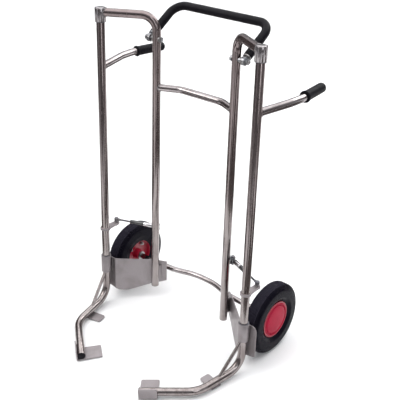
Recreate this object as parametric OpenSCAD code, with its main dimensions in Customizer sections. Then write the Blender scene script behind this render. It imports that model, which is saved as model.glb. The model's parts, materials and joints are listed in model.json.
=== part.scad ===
// Tyre hand truck: a tubular frame on two wheels, with two gripper arms that
// swing round a stack of tyres. Squeezing the lever handles opens the arms and
// two small gas springs close them again.
//
// Sizes are given in the frame's own upright axes: X across the truck, Y from
// front to back with zero on the two pivot tubes, Z along the tubes with zero
// at the bottom of the wheels. The whole frame then leans back about the axle,
// so that the toe plates and the wheels stand on the floor together.

/* [Stance] */
// Angle at which the tubes lean back when the truck stands, degrees
lean = 6; // [4:0.5:7]
// Distance from the middle of the footprint back to the axle
axle_back = 117; // [100:1:140]
// Distance between the two pivot tubes, centre to centre
pivot_span = 654; // [600:2:720]
// Distance between the two rear tubes, centre to centre
rear_span = 332; // [300:2:360]
// Distance from the pivot tubes back to the rear tubes
frame_depth = 98; // [92:1:104]

/* [Frame tubes] */
// Outside diameter of the main tubes
tube_d = 28; // [26:0.5:30]
// Wall of every tube
tube_wall = 2; // [1.5:0.25:3]
// Height of the open bottom end of the rear tubes
rear_bottom = 75; // [65:1:85]
// Height of the top runs from the rear tubes to the collars
top_run_z = 1090; // [1040:1:1120]
// Bend radius of the rear tubes at the top
rear_bend_r = 52; // [45:1:60]
// Outside diameter of the upper cross tube
cross_d = 24; // [20:1:26]
// Height of the upper cross tube
cross_z = 850; // [700:1:900]
// How far behind the pivot tubes the upper cross tube reaches
cross_back = 138; // [130:1:150]

/* [Pivots] */
// Outside diameter of the top collars and the lower sleeves
sleeve_d = 37; // [36:0.5:40]
// Outside diameter of the bushes inside them
bush_d = 32.5; // [32:0.25:33]
// Height of the top collars
collar_h = 43; // [36:1:50]
// Top of the lower sleeves
sleeve_top = 181; // [175:1:190]
// Height of the lower sleeves
sleeve_h = 68; // [60:1:72]
// Radial gap of every running fit
run_gap = 0.05; // [0.02:0.01:0.1]

/* [Side plates] */
// Thickness of the sheet
sheet = 3; // [2.5:0.5:4]
// Outer edge of the plates, from the middle of the truck
plate_outer = 366; // [360:1:372]
// Top edge of the plates
plate_top = 168; // [165:1:175]
// Bottom edge of the plates at the outer end
plate_bottom = 32; // [28:1:45]

/* [Wheels] */
// Outside diameter of the tyres
wheel_d = 256; // [250:1:258]
// Width of the tyres
tyre_w = 60; // [54:1:62]
// Wheel centre, from the middle of the truck
wheel_x = 326; // [322:1:328]
// Axle, behind the pivot tubes
axle_y = 155; // [154:1:160]
// Diameter of the axle bar
axle_d = 20; // [18:1:22]

/* [Gripper arms] */
// Length of the first run of an arm, to its bend
run_1 = 184; // [170:1:200]
// Angle of the first run, inward from straight ahead
run_1_angle = 11; // [5:1:15]
// Length of the second run, from the bend to the tip
run_2 = 192; // [170:1:200]
// Angle of the second run, inward from straight ahead
run_2_angle = 52; // [45:1:55]
// Gap under the toe plates, where their lips reach the floor
toe_gap = 4; // [3:1:6]
// Thickness of the toe plates
toe_sheet = 4; // [3:0.5:5]
// Height of the lever handles on the pivot tubes
lever_z = 906; // [850:1:930]
// Diameter of the lever tubes
lever_d = 25; // [22:1:26]

/* [Push handle] */
// Width of the push handle, centre to centre of its legs
handle_span = 392; // [390:1:400]
// Height of the hinge bolts
handle_z = 1014; // [1000:1:1020]
// Length of the legs, hinge bolt to cross run
handle_leg = 158; // [140:1:165]
// Rise of the legs above level, degrees
handle_rise = 35; // [30:1:38]

/* [Gas springs] */
// Height of the gas springs on the frame
spring_z = 309; // [290:1:330]
// Diameter of the cylinder
cylinder_d = 16; // [15:1:18]
// Diameter of the rod
rod_d = 7; // [6:0.5:8]
// Length of the levers on the pivot tubes
spring_arm = 58; // [50:1:62]

/* [Hidden] */
$fn = 64;

LEFT = -1;
RIGHT = 1;
CHROME = [0.62, 0.59, 0.58];
ZINC = [0.55, 0.55, 0.56];
SHEET_GREY = [0.51, 0.49, 0.5];
BLACK = [0.05, 0.045, 0.055];
RUBBER = [0.07, 0.065, 0.08];
RED = [0.72, 0.07, 0.16];
BRONZE = [0.6, 0.5, 0.35];

wheel_r = wheel_d / 2;
pivot_x = pivot_span / 2;
rear_x = rear_span / 2;
tube_r = tube_d / 2;
sleeve_r = sleeve_d / 2;
slip = 0.3;

// Bands that join the straights and bends of a tube
weld_half = 0.3;
weld_gap = 0.1;
weld_lift = 0.05;

// The pivot tube, its upper collar and what holds it up
collar_bottom = top_run_z + 13 - collar_h;
collar_top = collar_bottom + collar_h;
cap_h = 4;
bush_flange = 2;
pivot_top = collar_top - 6;
retainer_h = 3;

// Side plate seen from above: outer flange, corner, bend and inner end
plate_front = sleeve_r;
plate_line = [
    [plate_outer, plate_front + sheet / 2],
    [pivot_x - 29, plate_front + sheet / 2],
    [226, 82],
    [151, 146]
];

// Gripper arm: down the pivot tube, forward along the floor, then inward
arm_h = toe_gap + toe_sheet + tube_r;
run_1_end = [pivot_x - run_1 * sin(run_1_angle), -run_1 * cos(run_1_angle)];
run_2_end = run_1_end - run_2 * [sin(run_2_angle), cos(run_2_angle)];
elbow_r = 65;
arm_bend_r = 100;
arm_line = [
    [pivot_x, 0, pivot_top],
    above_floor([pivot_x, 0], arm_h),
    above_floor(run_1_end, arm_h),
    above_floor(run_2_end, arm_h)
];
arm_radii = [0, elbow_r, arm_bend_r, 0];
brace_d = 12;
// Height of the brace's upper end above the foot of the lower sleeve
brace_rise = 4;

// Lever handle
lever_line = [
    [pivot_x, 0, lever_z],
    [pivot_x + 30, 125, lever_z + 9],
    [pivot_x + 34, 176, lever_z + 11],
    [pivot_x + 18, 300, lever_z + 12]
];
lever_radii = [0, 150, 150, 0];
grip_d = 33;
grip_start = 20;
grip_length = 126;
grip_collar_d = 38;

// Gas spring: pin behind the rear tube, ball on the spring lever
spring_pin = [rear_x + 11, frame_depth + 23, spring_z];
spring_ball = [pivot_x + 2, spring_arm, spring_z];
spring_length = norm(spring_ball - spring_pin);
spring_turn = atan2(spring_ball.y - spring_pin.y, spring_ball.x - spring_pin.x);
cylinder_start = 15;
cylinder_end = 108;
cylinder_wall = 1.5;
gland = 10;
piston_at = 62;
piston_h = 8;
lever_sheet = 8;
lever_top = spring_z - 11;
ball_r = 4;
ball_play = 2.1;
ear_gap = 13;
ear_sheet = 3;

// Push handle
bolt_d = 10;
fitting_w = 14;
handle_line = [
    hinge_to_leg(18, RIGHT),
    hinge_to_leg(handle_leg, RIGHT),
    hinge_to_leg(handle_leg, LEFT),
    hinge_to_leg(18, LEFT)
];
handle_bend_r = 45;

// Wheel, measured along the axle from its middle plane, outboard positive
hub_in = -30;
hub_out = 12;
hub_r = 20;
bearing_r = 16;
bearing_w = 14;
bead_r = 61;
rib_count = 9;
rib_pitch = 4.6;
rim_bolt_circle = 84;
rim_bolt_d = 8;
rim_bolts = 4;

// ---- Helpers ----

function unit(v) = v / norm(v);
function heading(p, i) = unit(p[i + 1] - p[i]);
function bend_angle(p, i) = acos(heading(p, i - 1) * heading(p, i));
function is_end(p, i) = i == 0 || i == len(p) - 1;
function set_back(p, i, r) = is_end(p, i) ? 0 : r[i] * tan(bend_angle(p, i) / 2);
function mirrored(p) = [for (i = [len(p) - 1:-1:0]) [-p[i].x, p[i].y, p[i].z]];

// A point at height h above the floor, for a point [x, y] of the upright frame
function above_floor(p, h) =
    [p.x, p.y, wheel_r + (h - wheel_r + (p.y - axle_y) * sin(lean)) / cos(lean)];

// A point on a leg of the push handle, at a distance from its hinge bolt
function hinge_to_leg(s, side) = [
    side * handle_span / 2,
    frame_depth + s * cos(handle_rise),
    handle_z + s * sin(handle_rise)
];

// Corner v of an outline, between points a and b, rounded to radius r
function rounded(a, v, b, r, n = 6) =
    let (
        u = unit(a - v),
        w = unit(b - v),
        half = acos(u * w) / 2,
        c = v + unit(u + w) * r / sin(half),
        s = v + u * r / tan(half) - c,
        e = v + w * r / tan(half) - c,
        a0 = atan2(s.y, s.x),
        d = atan2(e.y, e.x) - a0,
        sweep = d > 180 ? d - 360 : d < -180 ? d + 360 : d
    )
    [for (k = [0:n]) c + r * [cos(a0 + sweep * k / n), sin(a0 + sweep * k / n)]];

// An outline whose corners are [x, y, radius]
function outline(p) = [
    for (i = [0:len(p) - 1])
        let (
            a = p[(i + len(p) - 1) % len(p)],
            b = p[(i + 1) % len(p)],
            v = p[i]
        )
        each v.z > 0
            ? rounded([a.x, a.y], [v.x, v.y], [b.x, b.y], v.z)
            : [[v.x, v.y]]
];

// The place on the floor frame of a point of the upright frame
function stood(p) = [
    p.x,
    axle_back + (p.y - axle_y) * cos(lean) + (p.z - wheel_r) * sin(lean),
    wheel_r - (p.y - axle_y) * sin(lean) + (p.z - wheel_r) * cos(lean)
];

module sided(side) {
    if (side == LEFT) mirror([1, 0, 0]) children();
    else children();
}

// Stands the upright frame on the floor, for the right or the left side
module placed(side = RIGHT) {
    translate([0, axle_back, wheel_r])
        rotate([-lean, 0, 0])
            translate([0, -axle_y, -wheel_r])
                sided(side) children();
}

module both_sides() {
    placed(LEFT) children();
    placed(RIGHT) children();
}

// Local Z from point a towards point b
module along(a, b) {
    v = b - a;
    translate(a) rotate([0, acos(v.z / norm(v)), atan2(v.y, v.x)]) children();
}

// A round bar between two points
module rod(a, b, d) {
    along(a, b) cylinder(d = d, h = norm(b - a));
}

// Places a bend of radius r at point p, turning from heading a to heading b
module elbow_place(p, a, b, r) {
    n = unit(cross(a, b));
    w = cross(n, a);
    c = p - a * r * tan(acos(a * b) / 2) + w * r;
    multmatrix([
        [-w.x, a.x, n.x, c.x],
        [-w.y, a.y, n.y, c.y],
        [-w.z, a.z, n.z, c.z],
        [0, 0, 0, 1]
    ])
        children();
}

// A solid bar bent along points p, with a bend radius for each point
module bent_bar(p, r, d) {
    for (i = [0:len(p) - 2])
        rod(
            p[i] + heading(p, i) * set_back(p, i, r),
            p[i + 1] - heading(p, i) * set_back(p, i + 1, r),
            d
        );
    for (i = [1:len(p) - 2])
        bend(p[i], heading(p, i - 1), heading(p, i), r[i], d, 0);
}

// A straight run of bar, or of tube when bore is not zero
module straight(a, b, d, bore) {
    along(a, b)
        rotate_extrude()
            translate([bore / 2, 0]) square([(d - bore) / 2, norm(b - a)]);
}

// One bend of a bar or tube at point p, from heading a to heading b
module bend(p, a, b, r, d, bore) {
    elbow_place(p, a, b, r)
        rotate_extrude(angle = acos(a * b))
            translate([r, 0]) difference() {
                circle(d = d);
                if (bore > 0) circle(d = bore);
            }
}

// A bar or tube bent along points p. Each straight and each bend is a piece of
// its own, and a narrow band, a hair thicker, joins them like a weld.
module bent_tube(p, r, d, wall = tube_wall) {
    bore = wall > 0 ? d - 2 * wall : 0;
    last = len(p) - 1;
    for (i = [0:last - 1])
        straight(
            p[i] + heading(p, i) * (set_back(p, i, r) + (i == 0 ? 0 : weld_gap)),
            p[i + 1] - heading(p, i) * (set_back(p, i + 1, r) + (i == last - 1 ? 0 : weld_gap)),
            d, bore
        );
    for (i = [1:last - 1]) {
        a = heading(p, i - 1);
        b = heading(p, i);
        bend(p[i], a, b, r[i], d, bore);
        weld(p[i] - a * set_back(p, i, r), a, d, bore);
        weld(p[i] + b * set_back(p, i, r), b, d, bore);
    }
}

module weld(at, dir, d, bore) {
    straight(at - weld_half * dir, at + weld_half * dir, d + 2 * weld_lift, max(0, bore - 2 * weld_lift));
}

module ring(d, bore, h) {
    difference() {
        cylinder(d = d, h = h);
        translate([0, 0, -1]) cylinder(d = bore, h = h + 2);
    }
}

// A disc with a rounded upper edge
module domed_disc(d, h, r) {
    rotate_extrude() {
        square([d / 2 - r, h]);
        square([d / 2, h - r]);
        intersection() {
            translate([d / 2 - r, h - r]) circle(r = r);
            square([d / 2, h]);
        }
    }
}

// A hexagon bar, across_flats wide
module hexagon(across_flats, h) {
    cylinder(d = across_flats / cos(30), h = h, $fn = 6);
}

module at_pivot(z) { translate([pivot_x, 0, z]) children(); }

// Local X along run i of an arm, Y outward from the tyres, Z up from the floor
module on_run(i) {
    p = stood(arm_line[i]);
    q = stood(arm_line[i + 1]);
    translate([p.x, p.y, 0]) rotate([0, 0, atan2(q.y - p.y, q.x - p.x)]) children();
}

// Local X from the rear pin of a gas spring to its ball
module on_spring() { translate(spring_pin) rotate([0, 0, spring_turn]) children(); }

module lengthwise(start) { translate([start, 0, 0]) rotate([0, 90, 0]) children(); }

// Local Z along the axle, outboard from the middle of the wheel
module on_wheel() { translate([wheel_x, axle_y, wheel_r]) rotate([0, 90, 0]) children(); }

// ---- Frame ----

module rear_tube() {
    line = [
        [rear_x, frame_depth, rear_bottom],
        [rear_x, frame_depth, top_run_z],
        [pivot_x, 0, top_run_z]
    ];
    color(CHROME) difference() {
        bent_tube(line, [0, rear_bend_r, 0], tube_d);
        at_pivot(collar_bottom - 20) cylinder(d = sleeve_d, h = 100);
        handle_bolt_hole();
    }
}

module handle_bolt_hole() {
    translate([rear_x - tube_d, frame_depth, handle_z])
        rotate([0, 90, 0])
            cylinder(d = bolt_d, h = 2 * tube_d);
}

module top_collar() {
    color(CHROME) at_pivot(collar_bottom) ring(sleeve_d, bush_d, collar_h);
}

module collar_cap() {
    color(CHROME) at_pivot(collar_top) domed_disc(sleeve_d, cap_h, cap_h - 0.5);
}

module bush(z, h) {
    at_pivot(z) ring(bush_d, tube_d + 2 * run_gap, h);
}

module bush_lip(z) {
    at_pivot(z) ring(sleeve_d - 1, tube_d + 2 * run_gap, bush_flange);
}

module upper_bush() {
    color(BRONZE) {
        bush(collar_bottom, pivot_top - slip - collar_bottom);
        bush_lip(collar_bottom - bush_flange);
    }
}

module lower_sleeve() {
    color(ZINC) at_pivot(sleeve_top - sleeve_h) ring(sleeve_d, bush_d, sleeve_h);
}

module lower_bush() {
    color(BRONZE) {
        bush(sleeve_top - sleeve_h, sleeve_h);
        bush_lip(sleeve_top);
    }
}

// The way to the left of a step from a to b, and of a corner of a line, mitred
function leftward(a, b) = [a.y - b.y, b.x - a.x] / norm(b - a);
function mitre(p, i) =
    i == 0 ? leftward(p[0], p[1])
    : is_end(p, i) ? leftward(p[i - 1], p[i])
    : let (m = leftward(p[i - 1], p[i]) + leftward(p[i], p[i + 1])) 2 * m / (m * m);

// A folded sheet seen edge on: a line of thickness t through points p
module sheet_line(p, t) {
    last = len(p) - 1;
    polygon([
        for (i = [0:last]) p[i] + mitre(p, i) * t / 2,
        for (i = [last:-1:0]) p[i] - mitre(p, i) * t / 2
    ]);
}

module side_plate_sheet() {
    low = plate_bottom;
    edge = [
        [plate_outer, low + 18, 6],
        [plate_outer, plate_top, 18],
        [186, plate_top, 20],
        [plate_line[3].x - 3, plate_top - 8, 8],
        [plate_line[3].x - 3, low + 48, 8],
        [194, low + 32, 30],
        [262, low, 20],
        [286, low, 10],
        [302, low + 9, 10]
    ];
    intersection() {
        translate([0, 0, low - 1]) linear_extrude(plate_top - low + 2) sheet_line(plate_line, sheet);
        translate([0, 200, 0]) rotate([90, 0, 0]) linear_extrude(250) polygon(outline(edge));
    }
}

module side_plate() { color(SHEET_GREY) side_plate_sheet(); }

// Welded strip that ties a rear tube to its side plate
module tube_lug() {
    lug_low = 90;
    lug_h = 58;
    color(ZINC) difference() {
        translate([rear_x - 2, frame_depth, lug_low]) cube([4, 35, lug_h]);
        translate([rear_x, frame_depth, lug_low - 1]) cylinder(d = tube_d, h = lug_h + 2);
        side_plate_sheet();
    }
}

module upper_cross_tube() {
    bend_x = 88;
    half = [[rear_x, frame_depth, cross_z], [bend_x, cross_back - 2, cross_z]];
    line = concat(half, mirrored(half));
    color(CHROME) placed() difference() {
        bent_tube(line, [0, 70, 70, 0], cross_d);
        for (side = [LEFT, RIGHT])
            translate([side * rear_x, frame_depth, cross_z - cross_d])
                cylinder(d = tube_d, h = 2 * cross_d);
    }
}

module axle_bar() {
    half = [
        [wheel_x + hub_out + 5, axle_y, wheel_r],
        [250, axle_y, wheel_r],
        [125, axle_y + 8, wheel_r],
        [45, axle_y + 35, wheel_r]
    ];
    radii = [0, 300, 200, 200, 200, 200, 300, 0];
    color(CHROME) placed() bent_tube(concat(half, mirrored(half)), radii, axle_d, 0);
}

module rear_tube_plug() {
    head = 3;
    color(ZINC) translate([rear_x, frame_depth, rear_bottom]) {
        cylinder(d = tube_d - 2 * tube_wall, h = 12);
        mirror([0, 0, 1]) domed_disc(tube_d, head, head - 0.5);
    }
}

// ---- Brackets and bolts ----

module spring_ear() {
    reach = spring_pin - [rear_x, frame_depth, spring_z];
    difference() {
        linear_extrude(ear_sheet) difference() {
            union() {
                translate([reach.x, reach.y]) circle(r = 10);
                rotate(atan2(reach.y, reach.x)) translate([0, -9]) square([norm(reach), 18]);
            }
            circle(d = tube_d);
            translate([reach.x, reach.y]) circle(r = 4);
        }
    }
}

module spring_bracket() {
    color(ZINC) translate([rear_x, frame_depth, spring_z]) {
        translate([0, 0, ear_gap / 2]) spring_ear();
        translate([0, 0, -ear_gap / 2 - ear_sheet]) spring_ear();
    }
}

module spring_bracket_bolt() {
    grip = ear_gap / 2 + ear_sheet;
    color(ZINC) translate(spring_pin) {
        translate([0, 0, -grip - 9]) cylinder(r = 4, h = 2 * grip + 9);
        translate([0, 0, grip]) hexagon(13, 5);
        translate([0, 0, -grip - 6.5]) hexagon(13, 6.5);
    }
}

module handle_bolt() {
    inner = rear_x - tube_r;
    eye = handle_span / 2 - fitting_w / 2;
    eye_end = eye + fitting_w;
    color(ZINC) translate([0, frame_depth, handle_z]) rotate([0, 90, 0]) {
        translate([0, 0, inner - 1]) cylinder(d = bolt_d, h = eye_end - inner + 15);
        difference() {
            union() {
                translate([0, 0, inner - 8]) hexagon(17, 7);
                translate([0, 0, inner - 1]) cylinder(d = 20, h = 3);
                translate([0, 0, rear_x]) cylinder(d = 18, h = eye - slip - rear_x);
            }
            translate([-30, 0, rear_x]) rotate([0, 90, 0]) cylinder(d = tube_d, h = 60);
        }
        translate([0, 0, eye_end + slip]) cylinder(d = 22, h = 2);
        translate([0, 0, eye_end + slip + 2]) hexagon(17, 8);
    }
}

module axle_retainer() {
    washer = 2;
    color(ZINC) on_wheel() {
        translate([0, 0, hub_in - slip - 4]) ring(32, axle_d, 4);
        translate([0, 0, hub_out + slip]) ring(32, axle_d, washer);
        translate([0, 0, hub_out + slip + washer]) difference() {
            domed_disc(27, 6, 2);
            translate([0, 0, -1]) cylinder(d = axle_d, h = 5 - slip - washer + 1);
        }
    }
}

// ---- Gripper arms ----

module pivot_tube() { color(CHROME) bent_tube(arm_line, arm_radii, tube_d); }

module arm_brace() {
    foot = arm_line[1] + (arm_line[2] - arm_line[1]) * 0.56;
    color(CHROME) difference() {
        rod([pivot_x, 0, sleeve_top - sleeve_h + brace_rise], foot, brace_d);
        bent_bar(arm_line, arm_radii, tube_d);
    }
}

module inner_toe_plate() {
    edge = [[96, 10, 4], [134, 10, 4], [134, -58, 7], [96, -58, 7]];
    color(SHEET_GREY) on_run(1) translate([0, 0, toe_gap]) linear_extrude(toe_sheet) polygon(outline(edge));
}

module tip_toe_plate() {
    start = run_2 - 60;
    end = run_2 + 2;
    inner = -72;
    flange_top = 46;
    outer = tube_r + toe_sheet;
    leaf = [[start, outer, 0.5], [end, outer, 0.5], [end, inner, 5], [start, inner, 5]];
    flange = [[start, toe_gap, 1], [end, toe_gap, 1], [end, flange_top, 6], [start, flange_top, 6]];
    color(SHEET_GREY) on_run(2) {
        translate([0, 0, toe_gap]) linear_extrude(toe_sheet) polygon(outline(leaf));
        translate([0, outer, 0]) rotate([90, 0, 0]) linear_extrude(toe_sheet) polygon(outline(flange));
        translate([start + 5, inner, 0]) cube([end - start - 10, toe_sheet, toe_gap + 1]);
    }
}

module arm_end_cap() {
    tip = arm_line[3];
    head = 3;
    color(BLACK) along(tip, tip + heading(arm_line, 2)) {
        translate([0, 0, -14]) cylinder(d = tube_d - 2 * tube_wall, h = 14);
        domed_disc(tube_d, head, head - 0.5);
    }
}

// Washer and plug that hang the pivot tube on its upper bush
module top_retainer() {
    color(ZINC) at_pivot(pivot_top) {
        translate([0, 0, -16]) cylinder(d = tube_d - 2 * tube_wall, h = 16);
        cylinder(d = bush_d - 2 * slip, h = retainer_h);
    }
}

module lever_tube() {
    color(CHROME) difference() {
        bent_tube(lever_line, lever_radii, lever_d);
        at_pivot(lever_z - 40) cylinder(d = tube_d, h = 80);
    }
}

module grip() {
    end = norm(lever_line[3] - lever_line[2]) - grip_start;
    color(RUBBER) along(lever_line[2], lever_line[3]) translate([0, 0, grip_start]) difference() {
        union() {
            domed_disc(grip_d, grip_length, 12);
            domed_disc(grip_collar_d, 6, 2);
        }
        translate([0, 0, -1]) cylinder(d = lever_d, h = end + 1);
    }
}

module spring_lever() {
    eye = [spring_ball.x - pivot_x, spring_ball.y];
    root = 15;
    neck = 9;
    side = unit([-eye.y, eye.x]);
    color(ZINC) at_pivot(lever_top - lever_sheet) difference() {
        union() {
            linear_extrude(lever_sheet)
                polygon([side * root, eye + side * neck, eye - side * neck, -side * root]);
            translate(eye) cylinder(r = neck + 2, h = lever_sheet);
            cylinder(r = tube_r + 5, h = lever_sheet);
        }
        translate([0, 0, -1]) cylinder(d = tube_d, h = lever_sheet + 2);
        translate([eye.x, eye.y, -1]) cylinder(r = 3, h = lever_sheet + 2);
    }
}

module ball_stud() {
    color(ZINC) translate(spring_ball) {
        sphere(r = ball_r);
        translate([0, 0, lever_top - spring_z - lever_sheet - 8]) cylinder(r = 3, h = lever_sheet + 8);
        translate([0, 0, lever_top - spring_z]) hexagon(10, 2.5);
        translate([0, 0, lever_top - spring_z]) cylinder(r = 2.5, h = spring_z - lever_top);
        translate([0, 0, lever_top - spring_z - lever_sheet - 5]) hexagon(10, 5);
    }
}

// ---- Gas springs ----

module gas_cylinder() {
    bore = cylinder_d - 2 * cylinder_wall;
    color(BLACK) on_spring() difference() {
        union() {
            lengthwise(cylinder_start) cylinder(d = cylinder_d, h = cylinder_end - cylinder_start);
            lengthwise(cylinder_start) cylinder(d = cylinder_d + 2, h = 3);
        }
        lengthwise(cylinder_start + 3) cylinder(d = bore, h = cylinder_end - cylinder_start - 3 - gland);
        lengthwise(cylinder_end - gland - 1) cylinder(d = rod_d + 2 * run_gap, h = gland + 2);
    }
}

module cylinder_eye() {
    color(ZINC) on_spring() difference() {
        union() {
            translate([0, 0, -6]) cylinder(d = 16, h = 12);
            lengthwise(0) cylinder(d = 9, h = cylinder_start);
        }
        translate([0, 0, -7]) cylinder(r = 4 + run_gap, h = 14);
    }
}

module gas_rod() {
    start = piston_at + piston_h;
    color(CHROME) on_spring() lengthwise(start) cylinder(d = rod_d, h = spring_length - 16 - start);
}

module gas_piston() {
    color(BRONZE) on_spring() lengthwise(piston_at)
        cylinder(d = cylinder_d - 2 * cylinder_wall - 2 * run_gap, h = piston_h);
}

module rod_socket() {
    h = 14;
    cavity_r = ball_r + ball_play;
    color(ZINC) on_spring() difference() {
        union() {
            translate([spring_length, 0, -h / 2]) cylinder(d = 2 * cavity_r + 4, h = h);
            lengthwise(spring_length - 16) cylinder(d = 9.5, h = 10);
        }
        translate([spring_length, 0, -h / 2 - 1]) cylinder(r = cavity_r, h = h - 1);
    }
}

// ---- Push handle ----

module push_handle() {
    color(BLACK) placed() bent_tube(handle_line, [0, handle_bend_r, handle_bend_r, 0], tube_d);
}

module handle_fitting() {
    bore = tube_d - 2 * tube_wall;
    color(ZINC) difference() {
        union() {
            translate([handle_span / 2 - fitting_w / 2, frame_depth, handle_z])
                rotate([0, 90, 0])
                    cylinder(d = 27, h = fitting_w);
            rod(hinge_to_leg(6, RIGHT), hinge_to_leg(18, RIGHT), fitting_w);
            rod(hinge_to_leg(15, RIGHT), hinge_to_leg(40, RIGHT), bore);
            rod(hinge_to_leg(14, RIGHT), hinge_to_leg(18, RIGHT), tube_d);
        }
        translate([handle_span / 2 - 20, frame_depth, handle_z])
            rotate([0, 90, 0])
                cylinder(d = bolt_d + 2 * run_gap, h = 40);
    }
}

// ---- Wheels ----

module tyre() {
    half = tyre_w / 2;
    bead = 19.5;
    wall = 7;
    skin = [
        [bead_r, -bead, 1], [bead_r + 5, -bead, 1], [bead_r + 20, -half, 12], [wheel_r - 18, -half + 1, 16],
        [wheel_r, -half + 12, 12], [wheel_r, half - 12, 12], [wheel_r - 18, half - 1, 16],
        [bead_r + 20, half, 12], [bead_r + 5, bead, 1], [bead_r, bead, 1]
    ];
    air = [
        [bead_r - 5, -bead + wall, 1], [bead_r + 14, -half + wall, 8], [wheel_r - 10, -half + wall + 4, 12],
        [wheel_r - 10, half - wall - 4, 12], [bead_r + 14, half - wall, 8], [bead_r - 5, bead - wall, 1]
    ];
    color(RUBBER) on_wheel() rotate_extrude() difference() {
        polygon(outline(skin));
        polygon(outline(air));
        for (k = [0:rib_count - 1])
            translate([wheel_r - 1.5, (k - (rib_count - 1) / 2) * rib_pitch - 0.7]) square([3, 1.4]);
    }
}

module rim() {
    barrel_r = 55;
    web = 3;
    seat = 19.7;
    lip = 3.3;
    color(RED) on_wheel() difference() {
        rotate_extrude() {
            translate([barrel_r, -seat]) square([bead_r - barrel_r, 2 * seat]);
            for (z = [-seat - lip, seat]) translate([barrel_r, z]) square([bead_r + 5 - barrel_r, lip]);
            translate([bearing_r + 1, -5]) square([barrel_r - bearing_r, web]);
            translate([bearing_r, hub_in]) square([hub_r - bearing_r, hub_out - hub_in]);
        }
        rim_bolt_places() translate([0, 0, -6]) cylinder(d = rim_bolt_d, h = web + 2);
    }
}

module rim_bolt_places() {
    for (k = [0:rim_bolts - 1])
        rotate(45 + k * 360 / rim_bolts) translate([rim_bolt_circle / 2, 0, 0]) children();
}

module rim_bolt() {
    translate([0, 0, -16]) cylinder(d = rim_bolt_d, h = 18);
    translate([0, 0, -2]) hexagon(13, 5);
    translate([0, 0, -11.5]) hexagon(13, 6.5);
}

module rim_bolt_set() { color(ZINC) on_wheel() rim_bolt_places() rim_bolt(); }

module wheel_bearings() {
    color(BRONZE) on_wheel() {
        translate([0, 0, hub_in]) ring(2 * bearing_r, axle_d + 2 * run_gap, bearing_w);
        translate([0, 0, hub_out - bearing_w]) ring(2 * bearing_r, axle_d + 2 * run_gap, bearing_w);
    }
}

module hub_cap() {
    edge = 23;
    crown = 5;
    skin = 2;
    steps = 12;
    clip_d = 109.6;
    radii = [for (k = [0:steps]) bead_r * k / steps];
    under = [for (r = radii) [r, edge + crown * (1 - pow(r / bead_r, 2))]];
    dome = [for (k = [steps:-1:0]) under[k] + [0, skin]];
    color(RED) on_wheel() {
        rotate_extrude() polygon(concat(under, dome));
        translate([0, 0, edge - 9]) ring(clip_d, clip_d - 4, 11);
    }
}

// ---- The truck ----

placed(LEFT) rear_tube();  // left_rear_tube
placed(RIGHT) rear_tube();  // right_rear_tube
both_sides() top_collar();  // top_collars
both_sides() collar_cap();  // collar_caps
both_sides() upper_bush();  // upper_bushes
both_sides() lower_sleeve();  // lower_sleeves
both_sides() lower_bush();  // lower_bushes
placed(LEFT) side_plate();  // left_side_plate
placed(RIGHT) side_plate();  // right_side_plate
both_sides() tube_lug();  // tube_lugs
upper_cross_tube();
axle_bar();
both_sides() rear_tube_plug();  // rear_tube_plugs
both_sides() spring_bracket();  // spring_brackets
both_sides() spring_bracket_bolt();  // spring_bracket_bolts
both_sides() handle_bolt();  // handle_bolts
both_sides() axle_retainer();  // axle_retainers
placed(LEFT) pivot_tube();  // left_pivot_tube
placed(LEFT) arm_brace();  // left_arm_brace
sided(LEFT) inner_toe_plate();  // left_inner_toe_plate
sided(LEFT) tip_toe_plate();  // left_tip_toe_plate
placed(LEFT) arm_end_cap();  // left_arm_end_cap
placed(LEFT) top_retainer();  // left_top_retainer
placed(LEFT) lever_tube();  // left_lever_tube
placed(LEFT) grip();  // left_grip
placed(LEFT) spring_lever();  // left_spring_lever
placed(LEFT) ball_stud();  // left_ball_stud
placed(RIGHT) pivot_tube();  // right_pivot_tube
placed(RIGHT) arm_brace();  // right_arm_brace
sided(RIGHT) inner_toe_plate();  // right_inner_toe_plate
sided(RIGHT) tip_toe_plate();  // right_tip_toe_plate
placed(RIGHT) arm_end_cap();  // right_arm_end_cap
placed(RIGHT) top_retainer();  // right_top_retainer
placed(RIGHT) lever_tube();  // right_lever_tube
placed(RIGHT) grip();  // right_grip
placed(RIGHT) spring_lever();  // right_spring_lever
placed(RIGHT) ball_stud();  // right_ball_stud
placed(LEFT) gas_cylinder();  // left_gas_cylinder
placed(LEFT) cylinder_eye();  // left_cylinder_eye
placed(LEFT) gas_rod();  // left_gas_rod
placed(LEFT) gas_piston();  // left_gas_piston
placed(LEFT) rod_socket();  // left_rod_socket
placed(RIGHT) gas_cylinder();  // right_gas_cylinder
placed(RIGHT) cylinder_eye();  // right_cylinder_eye
placed(RIGHT) gas_rod();  // right_gas_rod
placed(RIGHT) gas_piston();  // right_gas_piston
placed(RIGHT) rod_socket();  // right_rod_socket
push_handle();
both_sides() handle_fitting();  // handle_fittings
placed(LEFT) tyre();  // left_tyre
placed(LEFT) rim();  // left_rim
placed(LEFT) hub_cap();  // left_hub_cap
placed(LEFT) wheel_bearings();  // left_wheel_bearings
placed(LEFT) rim_bolt_set();  // left_rim_bolts
placed(RIGHT) tyre();  // right_tyre
placed(RIGHT) rim();  // right_rim
placed(RIGHT) hub_cap();  // right_hub_cap
placed(RIGHT) wheel_bearings();  // right_wheel_bearings
placed(RIGHT) rim_bolt_set();  // right_rim_bolts
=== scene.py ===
"""The looks of a tyre hand truck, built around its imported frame.

Sizes are millimetres in the truck's own upright axes: X across the truck, Y from front to back with zero on
the pivot tubes, Z along the tubes with zero at the bottom of the wheels. Stance turns them into the floor
frame, in metres, because the truck leans back when it stands. The right side is modelled, and the left side
is its mirror image.
"""

import json
import logging
import math
from dataclasses import dataclass
from enum import Enum
from typing import Optional, Sequence, Union

import bpy
from mathutils import Matrix, Vector

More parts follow.
